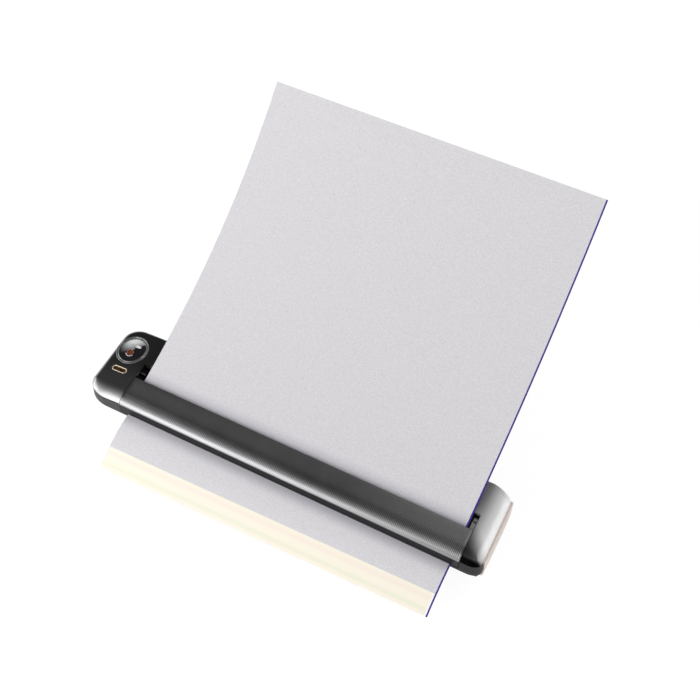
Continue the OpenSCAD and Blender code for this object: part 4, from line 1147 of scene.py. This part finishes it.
def lens_material():
    """Smoked lens with a painted reflection: a pale sheen on its upper left half."""
    material, tree, shader = start_material("smoked_lens", roughness=0.12, coat=1.0, coat_roughness=0.03)
    axes, group = axes_and_grain(tree, 0.4, 6.0)
    u = combine_values(tree, "SUBTRACT", axes.outputs["X"], DIAL[0] * MM)
    v = combine_values(tree, "SUBTRACT", axes.outputs["Y"], DIAL[1] * MM)
    across = combine_values(tree, "SUBTRACT", v, u)
    along = combine_values(tree, "ADD", v, u)
    # Painted reflection: a pale sheen on the upper left half of the lens, with a soft edge across its middle.
    edge = ramp_along(tree, across, 0.6, 1.8)
    rise = ramp_along(tree, across, -3.0, 10.0)
    lift = ramp_along(tree, along, -12.0, 4.0)
    sheen = combine_values(tree, "MULTIPLY", edge, combine_values(tree, "MULTIPLY", rise, lift))
    dark = tone_colours(tree, group.outputs["Tone"], (0.008, 0.008, 0.009), (0.012, 0.012, 0.013))
    join(tree, (blend_colours(tree, sheen, dark, (0.85, 0.86, 0.87)), shader.inputs["Base Color"]))
    return material


def key_material():
    """Dark bronze lacquer with copper flecks."""
    material, tree, shader = start_material("bronze_lacquer", roughness=0.35, metallic=0.6)
    place = place_of(tree)
    flecks = use_group(tree, FLECKS, fleck_size=0.55, share=0.3)
    grain = use_group(tree, GRAIN, grain_size=0.25, tone_size=1.2)
    join(tree, (place, flecks.inputs["Place"]), (place, grain.inputs["Place"]))
    ground = tone_colours(tree, grain.outputs["Tone"], (0.012, 0.006, 0.004), (0.07, 0.028, 0.012))
    colour = blend_colours(tree, flecks.outputs["Mask"], ground, (0.2, 0.085, 0.04))
    join(tree, (colour, shader.inputs["Base Color"]))
    bump(tree, shader, grain.outputs["Height"], 0.02)
    return material


def paper_material():
    """Coated paper with fine grain, a violet line on its right edge, a pale band at its front, and painted
    shade either side of the cover.
    """
    material, tree, shader = start_material("coated_paper", roughness=0.85)
    shader.inputs["Specular IOR Level"].default_value = 0.25
    place = place_of(tree)
    sheet = add(tree, "ShaderNodeUVMap", uv_map="sheet_metres")
    axes = add(tree, "ShaderNodeSeparateXYZ")
    grain = use_group(tree, GRAIN, grain_size=0.9, tone_size=6.0)
    join(tree, (place, grain.inputs["Place"]), (sheet.outputs[0], axes.inputs[0]))
    across, along = axes.outputs["X"], axes.outputs["Y"]
    ground = tone_colours(tree, grain.outputs["Height"], (0.645, 0.63, 0.655), (0.765, 0.75, 0.775))
    band = combine_values(tree, "LESS_THAN", along, 11.6 * MM)
    rose = stripe(tree, along, 6.9, 8.2, 9.1, 10.4)
    leaf = stripe(tree, along, 1.2, 2.4, 3.2, 4.4)
    cream = blend_colours(tree, rose, (0.98, 0.92, 0.79), (0.98, 0.88, 0.77))
    cream = blend_colours(tree, leaf, cream, (0.9, 0.88, 0.72))
    colour = blend_colours(tree, band, ground, cream)
    spot = add(tree, "ShaderNodeSeparateXYZ")
    join(tree, (place, spot.inputs[0]))
    # Painted shade: the sheet is darker next to the cover, fading out within about 8 mm in front of it and 9
    # mm behind it.
    shade = stripe(tree, spot.outputs["Y"], -35, -27, COVER_Y, 2)
    colour = blend_colours(tree, combine_values(tree, "MULTIPLY", shade, 0.55), colour, (0.33, 0.32, 0.37))
    inner = combine_values(tree, "SUBTRACT", SHEET_W * MM, across)
    white_edge = combine_values(tree, "MULTIPLY", band, combine_values(tree, "LESS_THAN", inner, 2.0 * MM))
    colour = blend_colours(tree, white_edge, colour, (0.97, 0.97, 0.96))
    line = combine_values(tree, "LESS_THAN", inner, 0.95 * MM)
    colour = blend_colours(tree, line, colour, (0.05, 0.028, 0.27))
    join(tree, (colour, shader.inputs["Base Color"]))
    bump(tree, shader, grain.outputs["Height"], 0.01)
    return material


def glow(name, colour):
    """Lit mark on the display."""
    material, tree, shader = start_material(name, roughness=0.3, coat=0.6)
    group = use_group(tree, GRAIN, grain_size=0.2, tone_size=1.0)
    dark = tuple(c * 0.82 for c in colour)
    join(tree, (place_of(tree), group.inputs["Place"]),
         (tone_colours(tree, group.outputs["Tone"], dark, colour), shader.inputs["Base Color"]))
    return material


finishes = {
    "gloss_black": black_material(),
    "silver": silver_material(),
    "case_grey": case_material(),
    "rose_gold": grainy("rose_gold_lacquer", (0.72, 0.625, 0.56), (0.76, 0.665, 0.6),
                        (0.42, 0.5), 0.2, 0.002, metallic=0.2),
    "cover_grey": cover_material(),
    "inner_black": grainy("inner_black", (0.010, 0.010, 0.011), (0.018, 0.018, 0.019),
                          (0.5, 0.62), 0.35, 0.015),
    "foot_rubber": grainy("foot_rubber", (0.012, 0.012, 0.012), (0.022, 0.022, 0.021),
                          (0.75, 0.9), 0.5, 0.03),
    "roller_rubber": grainy("roller_rubber", (0.018, 0.018, 0.018), (0.03, 0.03, 0.03),
                            (0.6, 0.72), 0.3, 0.015),
    "screw_steel": brushed("blackened_steel", (0.16, 0.16, 0.17), (0.24, 0.24, 0.25), (0.3, 0.42)),
    "dark_chrome": grainy("dark_chrome", (0.22, 0.22, 0.225), (0.28, 0.28, 0.285),
                          (0.24, 0.3), 0.2, 0.0005, metallic=0.7),
    "display_black": grainy("display_film", (0.008, 0.008, 0.01), (0.012, 0.012, 0.015),
                            (0.2, 0.3), 0.2, 0.002),
    "board_green": grainy("solder_mask", (0.012, 0.07, 0.03), (0.02, 0.11, 0.05), (0.3, 0.4), 0.6, 0.01),
    "gold": grainy("pale_gold", (0.84, 0.7, 0.52), (0.9, 0.76, 0.58), (0.3, 0.38), 0.2, 0.0005, metallic=0.6),
    "key_bronze": key_material(),
    "switch_black": grainy("switch_black", (0.012, 0.012, 0.012), (0.022, 0.022, 0.022),
                           (0.4, 0.5), 0.3, 0.006),
    "socket_steel": brushed("socket_steel", (0.5, 0.5, 0.52), (0.66, 0.66, 0.68), (0.25, 0.35)),
    "cell_wrap": grainy("shrink_wrap", (0.02, 0.08, 0.24), (0.03, 0.11, 0.32), (0.25, 0.35), 1.5, 0.02),
    "motor_steel": brushed("plated_steel", (0.42, 0.42, 0.44), (0.56, 0.56, 0.58), (0.25, 0.38)),
    "brass_pinion": brushed("turned_brass", (0.58, 0.4, 0.15), (0.72, 0.52, 0.22), (0.22, 0.32)),
    "shaft_steel": brushed("ground_steel", (0.5, 0.5, 0.52), (0.64, 0.64, 0.66), (0.2, 0.3)),
    "gear_white": grainy("natural_acetal", (0.66, 0.65, 0.61), (0.74, 0.73, 0.69), (0.35, 0.45), 0.3, 0.006),
    "bush_plastic": grainy("bush_acetal", (0.6, 0.58, 0.5), (0.68, 0.66, 0.57), (0.4, 0.5), 0.3, 0.006),
    "lens_glass": lens_material(),
    "thermal_paper": paper_material(),
    "ceramic_white": grainy("fired_ceramic", (0.68, 0.68, 0.65), (0.78, 0.78, 0.75), (0.3, 0.4), 0.4, 0.006),
    "sink_aluminium": brushed("mill_aluminium", (0.56, 0.57, 0.59), (0.7, 0.71, 0.73), (0.3, 0.42)),
    "spring_steel": brushed("spring_wire", (0.45, 0.45, 0.46), (0.6, 0.6, 0.61), (0.25, 0.35)),
    "icon_green": glow("lit_green", (0.10, 0.42, 0.24)),
    "icon_white": glow("lit_white", (0.9, 0.9, 0.9)),
    "icon_grey": glow("lit_grey", (0.36, 0.34, 0.36)),
    "icon_copper": glow("lit_copper", (0.42, 0.12, 0.05)),
}

record_slots = {part["node"]: part["material_slot"] for part in frame["record"]["subparts"]}
for node_name, node in nodes.items():
    dress(node, finishes[record_slots[node_name]])

dress(build_left_end(), finishes["gloss_black"])
dress(build_right_end(), finishes["silver"])
dress(build_lower_case(), finishes["case_grey"])
dress(build_end_cap(), finishes["rose_gold"])
dress(build_cover(), finishes["cover_grey"])
dress(build_sheet(), finishes["thermal_paper"])
for piece, finish in zip(build_dial() + build_key(), ("dark_chrome", "lens_glass", "gold", "key_bronze")):
    dress(piece, finishes[finish])
build_icons(finishes)


# Studio
def mirror_rays(tree, path):
    """1 for rays that metal, lacquer or glass sends on."""
    glossy, through = path.outputs["Is Glossy Ray"], path.outputs["Is Transmission Ray"]
    return combine_values(tree, "MAXIMUM", glossy, through)


def build_floor():
    """Pale floor that is white in the picture and in mirrors, and keeps the object's shadow."""
    half = 4000
    corners = [(-half, -half, 0), (half, -half, 0), (half, half, 0), (-half, half, 0)]
    floor = make_piece("floor", corners, [(0, 1, 2, 3)])
    material = bpy.data.materials.new("studio_floor")
    material.use_nodes = True
    tree = material.node_tree
    tree.nodes.clear()
    out = add(tree, "ShaderNodeOutputMaterial")
    diffuse = add(tree, "ShaderNodeBsdfDiffuse", {"Color": (0.9, 0.9, 0.9, 1)})
    shade = add(tree, "ShaderNodeBsdfDiffuse", {"Color": (0.12, 0.12, 0.12, 1)})
    white = add(tree, "ShaderNodeEmission", {"Color": (0.93, 0.93, 0.93, 1), "Strength": 1.0})
    shown = add(tree, "ShaderNodeAddShader")
    path = add(tree, "ShaderNodeLightPath")
    seen = combine_values(tree, "MAXIMUM", path.outputs["Is Camera Ray"], mirror_rays(tree, path))
    choose = add(tree, "ShaderNodeMixShader")
    join(tree, (shade.outputs[0], shown.inputs[0]), (white.outputs[0], shown.inputs[1]),
         (seen, choose.inputs[0]), (diffuse.outputs[0], choose.inputs[1]),
         (shown.outputs[0], choose.inputs[2]), (choose.outputs[0], out.inputs["Surface"]))
    dress(floor, material)


def build_world():
    """White behind the object, a weak even fill, and for mirrors a room that is white only low down."""
    world = bpy.data.worlds.new("studio")
    scene.world = world
    world.use_nodes = True
    tree = world.node_tree
    tree.nodes.clear()
    out = add(tree, "ShaderNodeOutputWorld")
    seen_white = add(tree, "ShaderNodeBackground", {"Color": (1, 1, 1, 1), "Strength": 1.0})
    fill = add(tree, "ShaderNodeBackground", {"Color": (1, 1, 1, 1), "Strength": 0.34})
    room = add(tree, "ShaderNodeBackground", {"Strength": 1.0})
    path = add(tree, "ShaderNodeLightPath")
    coord = add(tree, "ShaderNodeTexCoord")
    axes = add(tree, "ShaderNodeSeparateXYZ")
    values = {"From Min": 0.06, "From Max": 0.5}
    up = add(tree, "ShaderNodeMapRange", values, interpolation_type="SMOOTHSTEP")
    join(tree, (coord.outputs["Generated"], axes.inputs[0]), (axes.outputs["Z"], up.inputs["Value"]))
    join(tree, (blend_colours(tree, up.outputs[0], (1, 1, 1), (0.06, 0.06, 0.062)), room.inputs["Color"]))
    first = add(tree, "ShaderNodeMixShader")
    second = add(tree, "ShaderNodeMixShader")
    join(tree, (mirror_rays(tree, path), first.inputs[0]), (fill.outputs[0], first.inputs[1]),
         (room.outputs[0], first.inputs[2]),
         (path.outputs["Is Camera Ray"], second.inputs[0]), (first.outputs[0], second.inputs[1]),
         (seen_white.outputs[0], second.inputs[2]), (second.outputs[0], out.inputs["Surface"]))


def soft_box(name, direction, distance, width, height, power, aim=(0, 0, 20)):
    """Area lamp in metres and watts, in a direction from the point that it is aimed at."""
    data = bpy.data.lights.new(name, "AREA")
    data.shape = "RECTANGLE"
    data.size = width
    data.size_y = height
    data.energy = power
    lamp = bpy.data.objects.new(name, data)
    scene.collection.objects.link(lamp)
    away = Vector(direction).normalized()
    lamp.location = Vector(aim) * MM + away * distance
    lamp.rotation_mode = "QUATERNION"
    lamp.rotation_quaternion = (-away).to_track_quat("-Z", "Y")


build_floor()
build_world()
soft_box("front_box", (-0.45, -0.75, 0.5), 1.2, 0.75, 0.75, 7.4)
soft_box("left_box", (-0.93, -0.25, 0.33), 1.2, 0.7, 0.45, 5.0)
soft_box("right_box", (0.9, 0.1, 0.45), 1.2, 0.6, 0.6, 4.2)
soft_box("top_box", (0.1, 0.45, 0.9), 1.5, 0.8, 0.8, 2.0)
scene.view_settings.view_transform = "Standard"
